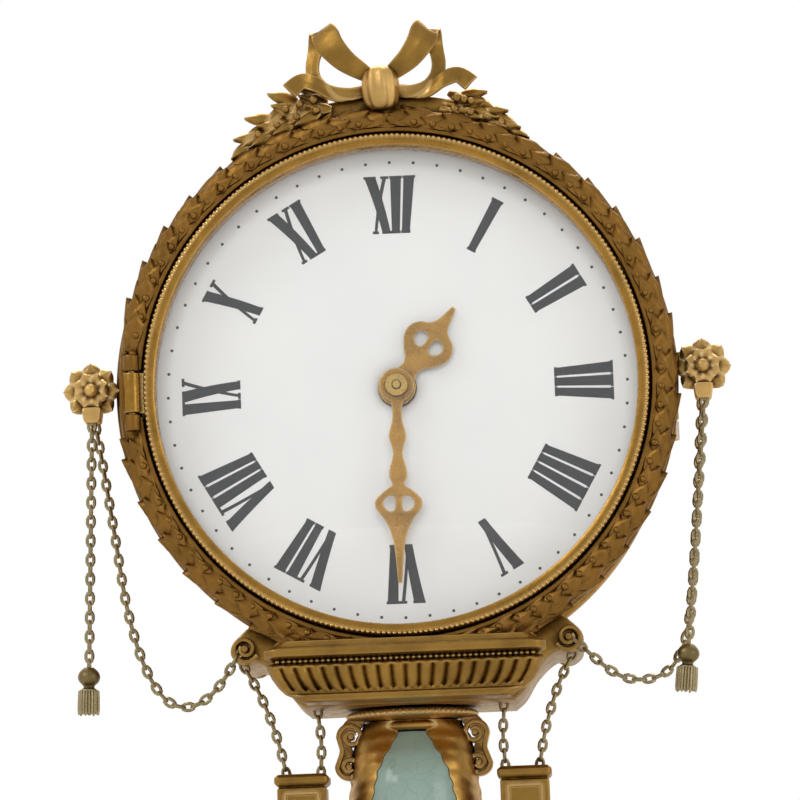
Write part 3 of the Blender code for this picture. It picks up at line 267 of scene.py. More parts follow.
def row_maker():
    """A tree that sets copies of a shape along a path, with X along it and Z the way they face."""
    tree = bpy.data.node_groups.new("row_along_path", "GeometryNodeTree")
    sockets = (("Path", "Geometry"), ("Shape", "Object"), ("Count", "Int"), ("Facing", "Vector"),
               ("Middle", "Vector"), ("Outward", "Float"), ("Roll", "Float"), ("Splay", "Float"),
               ("Size", "Float"), ("Unevenness", "Float"), ("Seed", "Int"), ("Finish", "Material"))
    for name, kind in sockets:
        tree.interface.new_socket(name, in_out="INPUT", socket_type="NodeSocket" + kind)
    tree.interface.new_socket("Row", in_out="OUTPUT", socket_type="NodeSocketGeometry")
    given = add(tree, "NodeGroupInput").outputs
    line = add(tree, "GeometryNodeMeshToCurve", {"Mesh": given["Path"]})
    spaced = add(tree, "GeometryNodeResampleCurve", {"Curve": line, "Count": given["Count"]})
    # each copy stands along the path and faces one way, leaning outwards from a middle
    place = add(tree, "GeometryNodeInputPosition")
    from_middle = add(tree, "ShaderNodeVectorMath", {0: place, 1: given["Middle"]}, operation="SUBTRACT")
    unit = add(tree, "ShaderNodeVectorMath", {0: from_middle}, operation="NORMALIZE")
    outward = add(tree, "ShaderNodeVectorMath", {0: unit, "Scale": given["Outward"]}, operation="SCALE")
    facing = add(tree, "ShaderNodeVectorMath", {0: given["Facing"], 1: outward}, operation="ADD")
    along = add(tree, "GeometryNodeInputTangent")
    stance = add(tree, "FunctionNodeAxesToRotation",
                 {"Primary Axis": along, "Secondary Axis": facing},
                 primary_axis="X", secondary_axis="Z")
    # every other copy is rolled about the path, and the copies splay to both sides in turn
    number = add(tree, "GeometryNodeInputIndex")
    other = add(tree, "ShaderNodeMath", {0: number, 1: 2.0}, operation="MODULO")
    roll = add(tree, "ShaderNodeMath", {0: other, 1: given["Roll"]}, operation="MULTIPLY")
    rolled = add(tree, "FunctionNodeAxisAngleToRotation", {"Axis": (1, 0, 0), "Angle": roll})
    side = add(tree, "ShaderNodeMath", {0: other, 1: 2.0, 2: -1.0}, operation="MULTIPLY_ADD")
    splay = add(tree, "ShaderNodeMath", {0: side, 1: given["Splay"]}, operation="MULTIPLY")
    splayed = add(tree, "FunctionNodeAxisAngleToRotation", {"Axis": (0, 0, 1), "Angle": splay})
    turn = add(tree, "FunctionNodeRotateRotation",
               {"Rotation": stance, "Rotate By": rolled}, rotation_space="LOCAL")
    turn = add(tree, "FunctionNodeRotateRotation",
               {"Rotation": turn, "Rotate By": splayed}, rotation_space="LOCAL")
    # hand work is never quite even in size
    least = add(tree, "ShaderNodeMath", {0: 1.0, 1: given["Unevenness"]}, operation="SUBTRACT")
    most = add(tree, "ShaderNodeMath", {0: 1.0, 1: given["Unevenness"]}, operation="ADD")
    chance = add(tree, "FunctionNodeRandomValue",
                 {2: least, 3: most, "Seed": given["Seed"]}, data_type="FLOAT")
    size = add(tree, "ShaderNodeMath", {0: chance, 1: given["Size"]}, operation="MULTIPLY")
    model = add(tree, "GeometryNodeObjectInfo", {"Object": given["Shape"]})
    copies = add(tree, "GeometryNodeInstanceOnPoints",
                 {"Points": spaced, "Instance": model.outputs["Geometry"],
                  "Rotation": turn, "Scale": size})
    solid = add(tree, "GeometryNodeRealizeInstances", {"Geometry": copies})
    dressed = add(tree, "GeometryNodeSetMaterial", {"Geometry": solid, "Material": given["Finish"]})
    add(tree, "NodeGroupOutput", {"Row": dressed})
    return tree


row_tree = row_maker()
UP, FORWARD = (0.0, 0.0, 1.0), (0.0, -1.0, 0.0)


def row(shape, path, model, look, closed=False, **sizes):
    """Adds a row of copies of a model along a path, with the row tree's inputs named in sizes."""
    line = bmesh.new()
    points = [line.verts.new(p) for p in path]
    for ends in pairs(points, closed):
        line.edges.new(ends)
    track, pattern = as_object("row", line), as_object("row", model)
    line.free()
    pattern.data.shade_smooth()
    values = {"Shape": pattern, "Facing": FORWARD, "Middle": (0.0, 0.0, 0.0), "Outward": 0.0, "Roll": 0.0,
              "Splay": 0.0, "Size": 1.0, "Unevenness": 0.0, "Seed": 7, "Finish": look, **sizes}
    modifier = track.modifiers.new("row", "NODES")
    modifier.node_group = row_tree
    for socket in row_tree.interface.items_tree:
        if socket.name in values:
            modifier[socket.identifier] = values[socket.name]
    evaluated = track.evaluated_get(bpy.context.evaluated_depsgraph_get())
    copies = bpy.data.meshes.new_from_object(evaluated)
    track.modifiers.remove(modifier)
    shape.from_mesh(copies)
    for used in (copies, track.data, pattern.data):
        bpy.data.meshes.remove(used)


def bead(radius):
    """A round bead of a few dozen faces."""
    shape = bmesh.new()
    bmesh.ops.create_uvsphere(shape, u_segments=9, v_segments=6, radius=radius)
    return shape


BASE = [(2.2, 9.3), (1.3, 9.35), (0.4, 9.9), (0.1, 10.5), (0.6, 10.8), (0.6, 12.8), (0.1, 13.1),
        (0.1, 13.5), (1.0, 13.7), (1.9, 14.1), (2.4, 14.8), (2.6, 15.3), (4.4, 15.3)]
BASE_CORNER, BEAD_INSET, BEAD_Z = 7, 0.5, 11.8
base = bmesh.new()
half_x, half_y, _ = box_of("base_frame")[1]
moulded(base, half_x, half_y, BASE_CORNER, eased(BASE, 0.2))
edge_line = rounded(half_x - BEAD_INSET, half_y - BEAD_INSET, BASE_CORNER - BEAD_INSET, BEAD_Z)
row(base, edge_line, bead(0.95), gilt, closed=True, Count=152, Facing=UP)
piece("base_frame_beaded", base, gilt, "base_frame")

# The base slab: a plinth of the same celadon ware as the vase, its glaze thinner on the edges.
# It rests on the frame and the tie bolt holds it down.


def clouded(tree, where, size, detail, dark, light):
    """Clouds of a size in millimetres, and two tones that drift into each other with them."""
    clouds = add(tree, "ShaderNodeTexNoise", {"Vector": where, "Scale": 1 / (size * MM), "Detail": detail})
    tones = add(tree, "ShaderNodeMix", {0: clouds, 6: linear(dark), 7: linear(light)}, data_type="RGBA")
    return clouds, tones


celadon, tree, shader, where = finish_for("celadon_glaze")
# a thick grey-green feldspar glaze over porcelain: deep gloss, slow clouding, pale on edges, fine crackle
cloud, pool = clouded(tree, where, 14, 4.0, "7A958A", "A9BFB3")
bent = add(tree, "ShaderNodeMix", {0: 0.004, 4: where, 5: cloud.outputs["Color"]}, data_type="VECTOR")
crackle = add(tree, "ShaderNodeTexVoronoi",
              {"Vector": bent, "Scale": 1 / (2.8 * MM)}, feature="DISTANCE_TO_EDGE")
crack = add(tree, "ShaderNodeMapRange",
            {"Value": crackle, "From Max": 0.035, "To Min": 0.22, "To Max": 0.0})
lined = add(tree, "ShaderNodeMix", {0: crack, 6: pool, 7: linear("55604F")}, data_type="RGBA")
glaze = add(tree, "ShaderNodeMix",
            {0: on_edges(tree, 1.2, 0.6), 6: lined, 7: linear("C3CFC4")}, data_type="RGBA")
orange_peel = rippled(tree, where, 1.6, 1.0, 0.06, 0.1)
feed(tree, shader, {"Base Color": glaze, "Normal": orange_peel, "Roughness": 0.32,
                    "Coat Weight": 0.8, "Coat Roughness": 0.06})

SLAB = [(0.8, 15.6), (0, 16.0), (0, 24.4), (1.2, 25.6), (3.0, 25.6)]
SLAB_CORNER = 5
slab = bmesh.new()
half_x, half_y, _ = box_of("base_slab")[1]
moulded(slab, half_x, half_y, SLAB_CORNER, eased(SLAB, 0.7))
piece("base_slab_glazed", slab, celadon, "base_slab", slot="celadon")

# The vase's socle: a cast bronze foot, turned, gadrooned and fire-gilt, with a ring of beads above its plinth.
# It stands on the slab and takes the vase.

SOCLE = [(0, 25.9), (12.6, 25.9), (13.0, 26.3), (13.0, 27.8), (12.2, 28.3), (11.1, 28.7), (11.1, 29.4),
         (11.7, 29.9), (11.8, 30.8), (11.2, 31.4), (9.6, 32.5), (7.7, 34.2), (6.1, 36.6), (5.2, 39.2),
         (4.9, 40.8), (5.4, 41.4), (6.6, 41.9), (6.9, 42.7), (6.9, 43.7), (6.3, 44.3), (6.0, 45.0),
         (0, 45.0)]


def circle(radius, z, count=72):
    """Points on a level circle about the clock's upright axis."""
    turns = [tau * i / count for i in range(count)]
    return [(radius * cos(a), radius * sin(a), z) for a in turns]


socle = bmesh.new()
spun(socle, eased(SOCLE, 0.25), 108, swell=gadroons(18, 0.10, 0.6, middle=35, half=4.2))
row(socle, circle(12.0, 28.5), bead(0.62), gilt, closed=True, Count=58, Facing=UP)
piece("vase_socle_gadrooned", socle, gilt, "vase_socle")

# The vase: porcelain, thrown, glazed and fired, and drilled through.
# The tie bolt in its bore holds the whole stand together.

(_, _, VASE_LOW), (VASE_R, _, VASE_HIGH) = box_of("vase_body")
# the side's outline, as shares of the radius and of the height
VASE = [(0.53, 0), (0.62, 0.07), (0.80, 0.27), (0.947, 0.50), (1, 0.67), (0.973, 0.813), (0.903, 0.885),
        (0.788, 0.935), (0.62, 0.97), (0.478, 1)]
vase = bmesh.new()
vase_side = flowing([(VASE_R * r, VASE_LOW + (VASE_HIGH - VASE_LOW) * h) for r, h in VASE], 6)
spun(vase, [(0, VASE_LOW), *vase_side, (0, VASE_HIGH)], 96)
piece("vase_glazed", vase, celadon, "vase_body", slot="celadon")

# The vase's mount: a gilt-bronze collar with a beaded rim, and on each side a double scroll handle over a
# long leaf that lies on the vase's shoulder. All are cast, chased and pinned under the collar.

# a lighter copy of the gilding, with paler hollows: painted light on the mount, which the cradle shades
lightened_mount_gilt = gilding("gilt_bronze_mount", "CE9F54", "EBCB90", "64471E", 0.40)
COLLAR = [(0, 115.3), (6.2, 115.3), (6.9, 115.8), (6.9, 116.5), (6.4, 117.0), (8.4, 117.3), (11.0, 117.5),
          (11.6, 117.8), (11.6, 118.7), (11.1, 119.0), (0, 119.0)]
mount = bmesh.new()
spun(mount, eased(COLLAR, 0.25), 72)
row(mount, circle(11.5, 118.2), bead(0.55), lightened_mount_gilt, closed=True, Count=60, Facing=UP)


def swept(shape, path, section, facing, closed=False, size=None):
    """Adds a bar of a given section along a path. The section's second axis keeps to the way it faces."""
    rings = []
    for i, point in enumerate(path):
        before = path[i - 1] if i or closed else point
        after = path[(i + 1) % len(path)] if i < len(path) - 1 or closed else point
        along = (Vector(after) - Vector(before)).normalized()
        across = along.cross(Vector(facing)).normalized()
        up = across.cross(along)
        scale = size(i / (len(path) - 1)) if size else 1
        rings.append([Vector(point) + across * u * scale + up * v * scale for u, v in section])
    loft(shape, rings, closed)


def scroll(middle, start, turns, outer, inner, hand):
    """A volute's spiral in the plane of the dial, from its outer turn to its eye."""
    line = []
    steps = int(26 * turns)
    for share in (k / steps for k in range(steps + 1)):
        a = start + hand * tau * turns * share
        reach = outer + (inner - outer) * share
        line.append((middle[0] + reach * cos(a), middle[1] + reach * sin(a)))
    return line


def flat_work(shape, outlines, front, back, bevel, level=0):
    """Adds an upright plate, sawn to an outline and its openings in X and Z, with Z from a level."""
    drawing = bpy.data.curves.new("outline", "CURVE")
    drawing.dimensions = "2D"
    drawing.fill_mode = "BOTH"
    drawing.extrude = (back - front) / 2 - bevel
    drawing.bevel_depth = bevel
    drawing.bevel_resolution = 1
    drawing.offset = -bevel
    for outline in outlines:
        line = drawing.splines.new("POLY")
        line.points.add(len(outline) - 1)
        line.use_cyclic_u = True
        for point, (x, z) in zip(line.points, outline):
            point.co = (x, z, 0, 1)
    holder = bpy.data.objects.new("outline", drawing)
    mesh = bpy.data.meshes.new_from_object(holder)
    upright = Matrix.Rotation(pi / 2, 4, "X")
    mesh.transform(Matrix.Translation((0, (front + back) / 2, level)) @ upright)
    shape.from_mesh(mesh)
    bpy.data.meshes.remove(mesh)
    bpy.data.curves.remove(drawing)


def read_off(table, at):
    """The value of a table of (place, value) at a place between its ends."""
    for (p, v), (q, w) in zip(table, table[1:]):
        if p <= at <= q:
            return v + (w - v) * (at - p) / (q - p)
    return table[0][1] if at < table[0][0] else table[-1][1]


MOUNT_TOP = box_of("vase_mount")[1][2]
STRAP = eased([(-0.45, -2.1), (0.45, -2.1), (0.45, 2.1), (-0.45, 2.1)], 0.25, closed=True)
UPPER_EYE, LOWER_EYE = (11.2, 114.7), (11.7, 109.2)
EYE_PIN = [(0, -2.4), (0.5, -2.4), (0.62, -2.1), (0.62, 2.1), (0.5, 2.4), (0, 2.4)]
# the handle's outline, from the vase's widest radius and the mount's top
HANDLE = [(-2.7, -1.0), (-2.1, -2.6), (-0.7, -3.7), (0.1, -5.4), (-0.4, -7.2), (0.3, -8.8), (0.1, -10.4),
          (0.5, -11.4), (1.6, -11.1), (2.2, -9.5), (1.4, -7.2), (2.3, -5.5), (1.9, -3.0), (0.2, -1.0)]
# the long leaf's half width in degrees round the vase, and the radius that its swelling reaches, by height
LEAF_HALF = [(88.5, 2), (91, 15), (94, 29), (98, 41), (103, 48), (107.5, 51), (111, 57), (117, 66)]
SHOULDER = [(103.5, 9.9), (106.5, 10.5), (110, 10.2), (114, 9.4), (117, 7.6)]
LEAF_LOW, LEAF_STEP, LEAF_STEPS, VEIN_PITCH = 88.5, 0.5, 58, 2.6
vase_table = [(z, r) for r, z in vase_side]


def long_leaf(side, height):
    """One level of the long leaf: veined on its outside, bedded in the vase on its inside."""
    wave = tau * height / VEIN_PITCH
    half = radians(read_off(LEAF_HALF, height)) * (1 + 0.02 * cos(wave))
    skin = read_off(vase_table, height)
    swelling = max(0, read_off(SHOULDER, height) - skin) * (height > SHOULDER[0][0])
    bed = read_off(vase_table, min(height, SHOULDER[-2][0])) - 0.4
    outer, inner = [], []
    for v in (i / 14 - 1 for i in range(29)):
        vein = 0.5 + 0.5 * cos(7 * abs(v) - wave)
        reach = skin + swelling * (1 - v * v) + 0.3
        reach += (0.5 + 0.16 * vein) * (1 - v ** 6) + 0.25 * (abs(v) < 0.1)
        for line, r in ((outer, reach), (inner, bed)):
            line.append((side * r * cos(half * v), r * sin(half * v), height))
    return outer + inner[::-1]


for s in (-1, 1):
    outline = [(s * (VASE_R + x), MOUNT_TOP + z) for x, z in flowing(HANDLE, 3, closed=True)]
    flat_work(mount, [outline], -1.2, 1.2, 0.3)
    loft(mount, [long_leaf(s, LEAF_LOW + LEAF_STEP * k) for k in range(LEAF_STEPS)])
    upper = scroll(UPPER_EYE, 0, 1.4, 2.3, 0.6, 1)
    lower = scroll(LOWER_EYE, 0, 1.4, 2.2, 0.6, -1)
    line = [*reversed(upper), (12.9, 112.4), (13.0, 111.6), *lower]
    swept(mount, [(s * x, 0, z) for x, z in line], STRAP, (0, 1, 0))
    for x, z in (UPPER_EYE, LOWER_EYE):
        spun(mount, eased(EYE_PIN, 0.15), 16, (s * x, 0, z), "Y")
piece("vase_mount_scrolled", mount, lightened_mount_gilt, "vase_mount")

# The side columns: turned and fluted bronze, fire-gilt, on the slab beside the vase.
# A square cap with a raised panel is pinned on each, and two short chains come down to it.

COLUMN = [(0, 25.9), (5.7, 25.9), (6.0, 26.2), (6.0, 27.9), (5.2, 28.6), (4.7, 29.4), (5.4, 30.4),
          (5.3, 31.2), (4.0, 32.2), (3.6, 33.2), (3.55, 34.6), (3.5, 60.0), (3.3, 91.8), (3.3, 93.2),
          (3.5, 94.2), (4.1, 94.9), (4.2, 95.7), (4.0, 96.2), (4.2, 96.8), (4.2, 97.6), (0, 97.6)]
FLUTES, FLUTE_LOW, FLUTE_HIGH, FLUTE_END = 12, 33.8, 92.8, 1.2
CAP = [(1.4, 97.9), (0.9, 97.9), (0.9, 99.2), (0.5, 99.6), (0.5, 105.2), (0.9, 105.5), (0.3, 105.9),
       (0, 106.3), (0, 107.2), (0.7, 107.8), (2.0, 107.8)]
CAP_HALF, CAP_CORNER = 4.9, 0.9
PANEL = eased([(-3.0, -1.9), (3.0, -1.9), (3.0, 1.9), (-3.0, 1.9)], 0.5, closed=True)
PANEL_Y, PANEL_Z = -4.45, 102.4
PANEL_EDGE = [(-0.35, -0.3), (0.35, -0.3), (0.2, 0.3), (-0.2, 0.3)]


def flutes(turn, height):
    """The flutes' hollows, which run out below and above."""
    cut = max(0, min(1, (height - FLUTE_LOW) / FLUTE_END, (FLUTE_HIGH - height) / FLUTE_END))
    return 1 - 0.16 * max(0, cos(FLUTES * turn)) ** 0.6 * cut


shaft = []
for (r0, z0), (r1, z1) in pairs(eased(COLUMN, 0.2), closed=False):
    parts = max(1, round((z1 - z0) / 2.5))
    shaft += [(r0 + (r1 - r0) * k / parts, z0 + (z1 - z0) * k / parts) for k in range(parts)]
columns = bmesh.new()
for side in ("left", "right"):
    x, y, _ = middle_of(f"side_column_{side}")
    spun(columns, [*shaft, COLUMN[-1]], 96, (x, y, 0), swell=flutes)
    moulded(columns, CAP_HALF, CAP_HALF, CAP_CORNER, eased(CAP, 0.15), (x, y))
    swept(columns, [(x + u, y + PANEL_Y, PANEL_Z + w) for u, w in PANEL], PANEL_EDGE, FORWARD, closed=True)
piece("side_columns_fluted", columns, gilt,
      "side_column_left", "side_column_right", "side_cap_left", "side_cap_right")

# The cradle: a cast and chased bronze bracket, fire-gilt. Its moulded apron stands in front of the drum's
# ring, its arms reach back under the drum and end in volutes, and the tie bolt's nut clamps it to the mount.

DIAL_Z = middle_of("dial")[2]
MIDDLE = (0, 0, DIAL_Z)
# the apron's half width and its front, by height from the dial's middle
APRON_HALF = [(-56.7, 18.4), (-56.0, 19.6), (-55.2, 21.4), (-54.0, 22.6), (-52.4, 23.7), (-50.6, 24.5),
              (-49.9, 24.3), (-49.5, 23.8), (-49.1, 24.2), (-48.7, 24.9), (-47.4, 24.9), (-46.9, 23.9),
              (-45.8, 22.5)]
APRON_FRONT = [(-56.7, -26.6), (-56.5, -27.2), (-55.4, -27.2), (-55.1, -26.5), (-54.4, -26.7),
               (-53.0, -27.3), (-51.4, -27.9), (-50.4, -28.0), (-49.9, -27.4), (-49.7, -26.5),
               (-49.2, -26.5), (-49.0, -27.6), (-48.6, -28.3), (-47.4, -28.4), (-47.0, -27.9),
               (-46.8, -27.0), (-45.8, -26.5)]
APRON_LOW, APRON_HIGH, APRON_BACK = -56.7, -45.8, -25.2
RIBS, RIB_STEPS, RIB_LOW, RIB_HIGH, RIB_END = 20, 7, -54.9, -50.3, 0.5
TURNED_EDGE = 2.2


def apron_ring(height):
    """One level of the apron: its front ribbed between two mouldings, and turned back at both edges."""
    half, front = read_off(APRON_HALF, height), read_off(APRON_FRONT, height)
    window = max(0, min(1, (height - RIB_LOW) / RIB_END, (RIB_HIGH - height) / RIB_END))
    ring = []
    for i in range(RIBS * RIB_STEPS + 1):
        x = -half + 2 * half * i / (RIBS * RIB_STEPS)
        lean = max(0, (abs(x) - half + TURNED_EDGE) / TURNED_EDGE)
        rib = 0.8 * window * (abs(sin(pi * i / RIB_STEPS)) - 0.8)
        ring.append((x, front - rib + 1.6 * lean * lean, DIAL_Z + height))
    return ring + [(x, APRON_BACK, DIAL_Z + height) for x in (half, -half)]


def arc(radius, first, last, count):
    """Points on a circle about the dial's middle, between two angles in degrees from 3 o'clock."""
    turns = [radians(first + (last - first) * i / (count - 1)) for i in range(count)]
    return [(radius * cos(a), radius * sin(a)) for a in turns]


def upright(points, depth):
    """Points given as X and Z from the dial's middle, set upright at a depth."""
    return [(x, depth, DIAL_Z + z) for x, z in points]


ARM = [(18.8, -56.7), (20.8, -54.9), (23.2, -51.2), (26.6, -48.3), (29.4, -48.7), (31.4, -47.2),
       (31.2, -45.0), (28.6, -42.4)]
NECK = [(18.0, -56.5), (19.4, -55.2)]
VOLUTE = eased([(-0.42, -0.8), (0.42, -0.8), (0.42, 0.8), (-0.42, 0.8)], 0.3, closed=True)
VOLUTE_EYE = (28.9, -46.0)
EYE = [(0, -1.3), (0.5, -1.2), (0.75, -0.8), (0.75, 0.8), (0.5, 1.2), (0, 1.3)]
cradle = bmesh.new()
loft(cradle, [apron_ring(APRON_LOW + (APRON_HIGH - APRON_LOW) * k / 63) for k in range(64)])
arm = [tuple(p) for p in flowing(ARM, 5)]
arm += arc(48.3, -58, -122, 33) + [(-x, z) for x, z in reversed(arm)]
flat_work(cradle, [arm], -16.0, 14.0, 0.6, DIAL_Z)
neck = NECK + arc(51.6, -69, -111, 21) + [(-x, z) for x, z in reversed(NECK)]
flat_work(cradle, [neck], -25.4, -15.8, 0.2, DIAL_Z)
for s in (-1, 1):
    for y in (-16.6, 14.6):
        line = scroll(VOLUTE_EYE, radians(-150), 1.5, 2.5, 0.7, 1)
        swept(cradle, upright([(s * x, z) for x, z in line], y), VOLUTE, (0, 1, 0))
        spun(cradle, EYE, 18, (s * VOLUTE_EYE[0], y, DIAL_Z + VOLUTE_EYE[1]), "Y")
row(cradle, upright([(x * 0.47, -49.45) for x in range(-48, 49)], -27.0), bead(0.42), gilt, Count=46)
piece("cradle_moulded", cradle, gilt, "cradle")

# The tie bolt and its nut: turned and milled steel, bright, that clamp everything from feet to cradle.
# They keep their CAD shapes.

steel, tree, shader, where = finish_for("bright_steel")
# turned and then polished: neutral grey with fine turning marks across the axis and a few dull spots
stretched = add(tree, "ShaderNodeMapping", {"Vector": where, "Scale": (1, 1, 12)})
marks, tone = clouded(tree, stretched, 1.5, 3.0, "8C8E92", "B9BBBE")
dull = add(tree, "ShaderNodeMapRange", {"Value": marks, "To Min": 0.18, "To Max": 0.42})
feed(tree, shader, {"Base Color": tone, "Metallic": 1.0, "Roughness": dull})


def wear(look, *names):
    """Gives CAD nodes a finish."""
    for name in names:
        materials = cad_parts[name].data.materials
        materials.clear()
        materials.append(look)


wear(steel, "tie_bolt", "tie_bolt_nut")

# The drum: a spun bronze shell, fire-gilt, with turned lines round it, a raised band at the back and two
# knuckles on its right for the back door's hinge. It lies in the cradle's arms.

# gilt bronze rubbed with an agate stone: a yellower gold with a bright, tight sheen
burnished = gilding("gilt_bronze_burnished", "B98A3E", "EAC682", "3E2A0C", 0.26)
DRUM = [(46, -16), (48, -16), (48, -13.4), (47.6, -13.1), (47.6, -12.6), (48, -12.3), (48, 6), (47.6, 6.3),
        (47.6, 6.8), (48, 7.1), (48, 14.8), (48.7, 15.2), (49.0, 16.4), (48.7, 17.6), (48.1, 18),
        (48.1, 20.4), (48.5, 20.8), (48.5, 22), (46, 22)]
KNUCKLE_R = 1.5
BACK_PIN = middle_of("back_hinge_pin")
LUG = [(46.8, 16), (50.4, 19.0)]
LUG += [(BACK_PIN[0] + KNUCKLE_R * cos(a), BACK_PIN[1] + KNUCKLE_R * sin(a))
        for a in (pi * k / 8 for k in range(9))]
LUG += [(48.1, 22), (46.8, 22)]
drum = bmesh.new()
spun(drum, eased(DRUM, 0.15, closed=True), 144, MIDDLE, "Y", closed=True)
for low, high in ((3.0, 6.4), (-6.4, -3.0)):
    loft(drum, [[(x, y, DIAL_Z + z) for x, y in LUG] for z in (low, high)])
piece("drum_shell", drum, burnished, "drum_case")

# The wreath ring: a cast and chased ring of overlapping laurel leaves and berries with a plain inner edge,
# fire-gilt and screwed to the drum's front. It is cut away at 9 o'clock, where the bezel's hinge lies.


def leaf(length, width, curl, rise, tip=1.0):
    """A leaf with a midrib, from its stalk along X. A tip of 1 is pointed, and less is round."""
    shape = bmesh.new()
    rings = []
    for k in range(7):
        u = 1 - (1 - k / 6) ** 1.5
        half = max(0.05, width / 2 * sin(pi * (0.14 + u * (tip - 0.14))) ** 0.8)
        if tip < 1:
            half = max(0.05, half * sqrt(1 - max(0, 2 * u - 1) ** 2))
        lift = rise * sin(pi * (u * 0.75 + 0.1)) + curl * u * u
        top = []
        for v in (-1, -0.65, -0.3, 0, 0.3, 0.65, 1):
            midrib = 0.16 * width * (0.35 - abs(v)) * (abs(v) < 0.35)
            top.append((length * u, v * half, lift * (1 - 0.75 * v * v) - midrib + 0.15))
        under = 0.85 * curl * u * u - 0.5
        rings.append(top + [(length * u, side * half, under) for side in (0.5, -0.5)])
    loft(shape, rings)
    bmesh.ops.recalc_face_normals(shape, faces=shape.faces)
    return shape


# a brown gold without bright edges, darker than the other gilding: partly the ring's own tone, partly painted
# shade
toned = gilding("gilt_bronze_toned", "9A7034", "C2965A", "5C431D", 0.42, handled=0.1)
RING_BACK = [(46, -16.3), (50.1, -16.3), (50.5, -16.7), (50.5, -17.8), (50.0, -18.3), (49.7, -20.8),
             (46, -20.8)]
RING_FRONT = [(45.65, -20.6), (49.5, -20.6), (49.2, -21.3), (48.6, -22.0), (47.9, -22.4), (47.0, -22.4),
              (46.7, -22.8), (46.3, -23.1), (45.65, -23.0)]
CUT_AWAY = 5.4
LEAVES = 42
# each run climbs from the cradle to the bow, as (first angle, last angle, share of the leaves)
RUNS = ((-86, 84, 1.0), (-94, -164, 0.41), (-188.6, -264, 0.444))
# the leaves lie in three rows over the ring's round front, as (radius, depth, lean outwards)
ROWS = ((47.1, -22.2, -0.45), (48.2, -22.4, 0.25), (49.0, -20.7, 1.5))
BERRIES = ((47.4, -23.1), (49.0, -22.2))
FRONT_PIN = middle_of("front_hinge_pin")
RING_KNUCKLE = eased([(0, 3.9), (1.4, 3.9), (1.4, 6.8), (0, 6.8)], 0.3)
wreath = bmesh.new()
spun(wreath, eased(RING_BACK, 0.2, closed=True), 144, MIDDLE, "Y", closed=True)
front = eased(RING_FRONT, 0.2, closed=True)
lines = [upright(arc(r, CUT_AWAY - 180, 180 - CUT_AWAY, 140), y) for r, y in front]
loft(wreath, zip(*lines))
laurel, berry = leaf(6.4, 3.4, 1.15, 0.65), bead(0.72)
for first, last, share in RUNS:
    count = round(LEAVES * share)
    for place, (radius, depth, lean) in enumerate(ROWS):
        shift = 1.6 * (place == 1) * (1 if last > first else -1)
        path = upright(arc(radius, first + shift, last - shift * 0.5, 60), depth)
        row(wreath, path, laurel, toned, Count=count, Middle=(0, depth, DIAL_Z), Outward=lean,
            Unevenness=0.06, Seed=3 + place, Splay=0.10)
    for radius, depth in BERRIES:
        path = upright(arc(radius, first, last, 60), depth)
        row(wreath, path, berry, toned, Count=count, Unevenness=0.12, Seed=11)
for s in (-1, 1):
    spun(wreath, [(r, s * z) for r, z in RING_KNUCKLE], 24, FRONT_PIN)
piece("wreath_ring_laurel", wreath, toned, "wreath_ring")

# The front bezel: a turned and burnished gilt-bronze ring that holds the glass, with a fine beaded lip.
# A tab and knuckle on its left turn on the front hinge's pin.


def knuckle(shape, pin, half, tab):
    """Adds a hinge's knuckle round its pin, and the tab that joins it to its piece."""
    side = [(0, -half), (KNUCKLE_R, -half), (KNUCKLE_R, half), (0, half)]
    spun(shape, eased(side, 0.25), 24, pin)
    (left, front), (right, back) = tab
    corners = ((left, front), (right, front), (right, back), (left, back))
    loft(shape, [[(x, y, DIAL_Z + z) for x, y in corners] for z in (-half, half)])


BEZEL = [(43.2, -16.6), (45.4, -16.6), (45.4, -22.8), (45.0, -23.5), (44.4, -23.7), (43.9, -23.7),
         (43.2, -23.45), (43.1, -23.15), (43.5, -23.0), (44.1, -22.86), (44.3, -22.7), (44.3, -21.3),
         (43.5, -21.1), (43.4, -20.2), (43.2, -19.6)]
bezel = bmesh.new()
spun(bezel, eased(BEZEL, 0.2, closed=True), 144, MIDDLE, "Y", closed=True)
lip = upright(arc(44.85, 0, 357.5, 144), -23.45)
row(bezel, lip, bead(0.42), burnished, closed=True, Count=300)
knuckle(bezel, FRONT_PIN, 3.6, ((-46.6, -23.2), (-44.7, -21.6)))
piece("bezel_ring", bezel, burnished, "front_bezel", body="bezel")

# The hinge pins: brass wire, burnished, driven through the knuckles of bezel and back door.
# They keep their CAD shapes, as the movement does.

brass, tree, shader, where = finish_for("lacquered_brass")
# rolled and grained brass under old lacquer: a yellow metal with straight graining and darker clouds
stretched = add(tree, "ShaderNodeMapping", {"Vector": where, "Scale": (1, 1, 9)})
graining, tone = clouded(tree, stretched, 2, 4.0, "B38C43", "D9B768")
cloud = add(tree, "ShaderNodeTexNoise", {"Vector": where, "Scale": 1 / (9 * MM), "Detail": 3.0})
aged = add(tree, "ShaderNodeMapRange", {"Value": cloud, "From Min": 0.45, "From Max": 0.75, "To Max": 0.5})
stained = add(tree, "ShaderNodeMix", {0: aged, 6: tone, 7: linear("7A5626")}, data_type="RGBA")
satin = add(tree, "ShaderNodeMapRange", {"Value": graining, "To Min": 0.18, "To Max": 0.40})
feed(tree, shader, {"Base Color": stained, "Metallic": 1.0, "Roughness": satin})
wear(brass, "front_hinge_pin", "back_hinge_pin")

# The front glass: a thin domed watchmaker's glass, blown and ground to fit.
# It is puttied into the bezel's rebate and opens with it.

clear, tree, shader, where = finish_for("domed_glass")
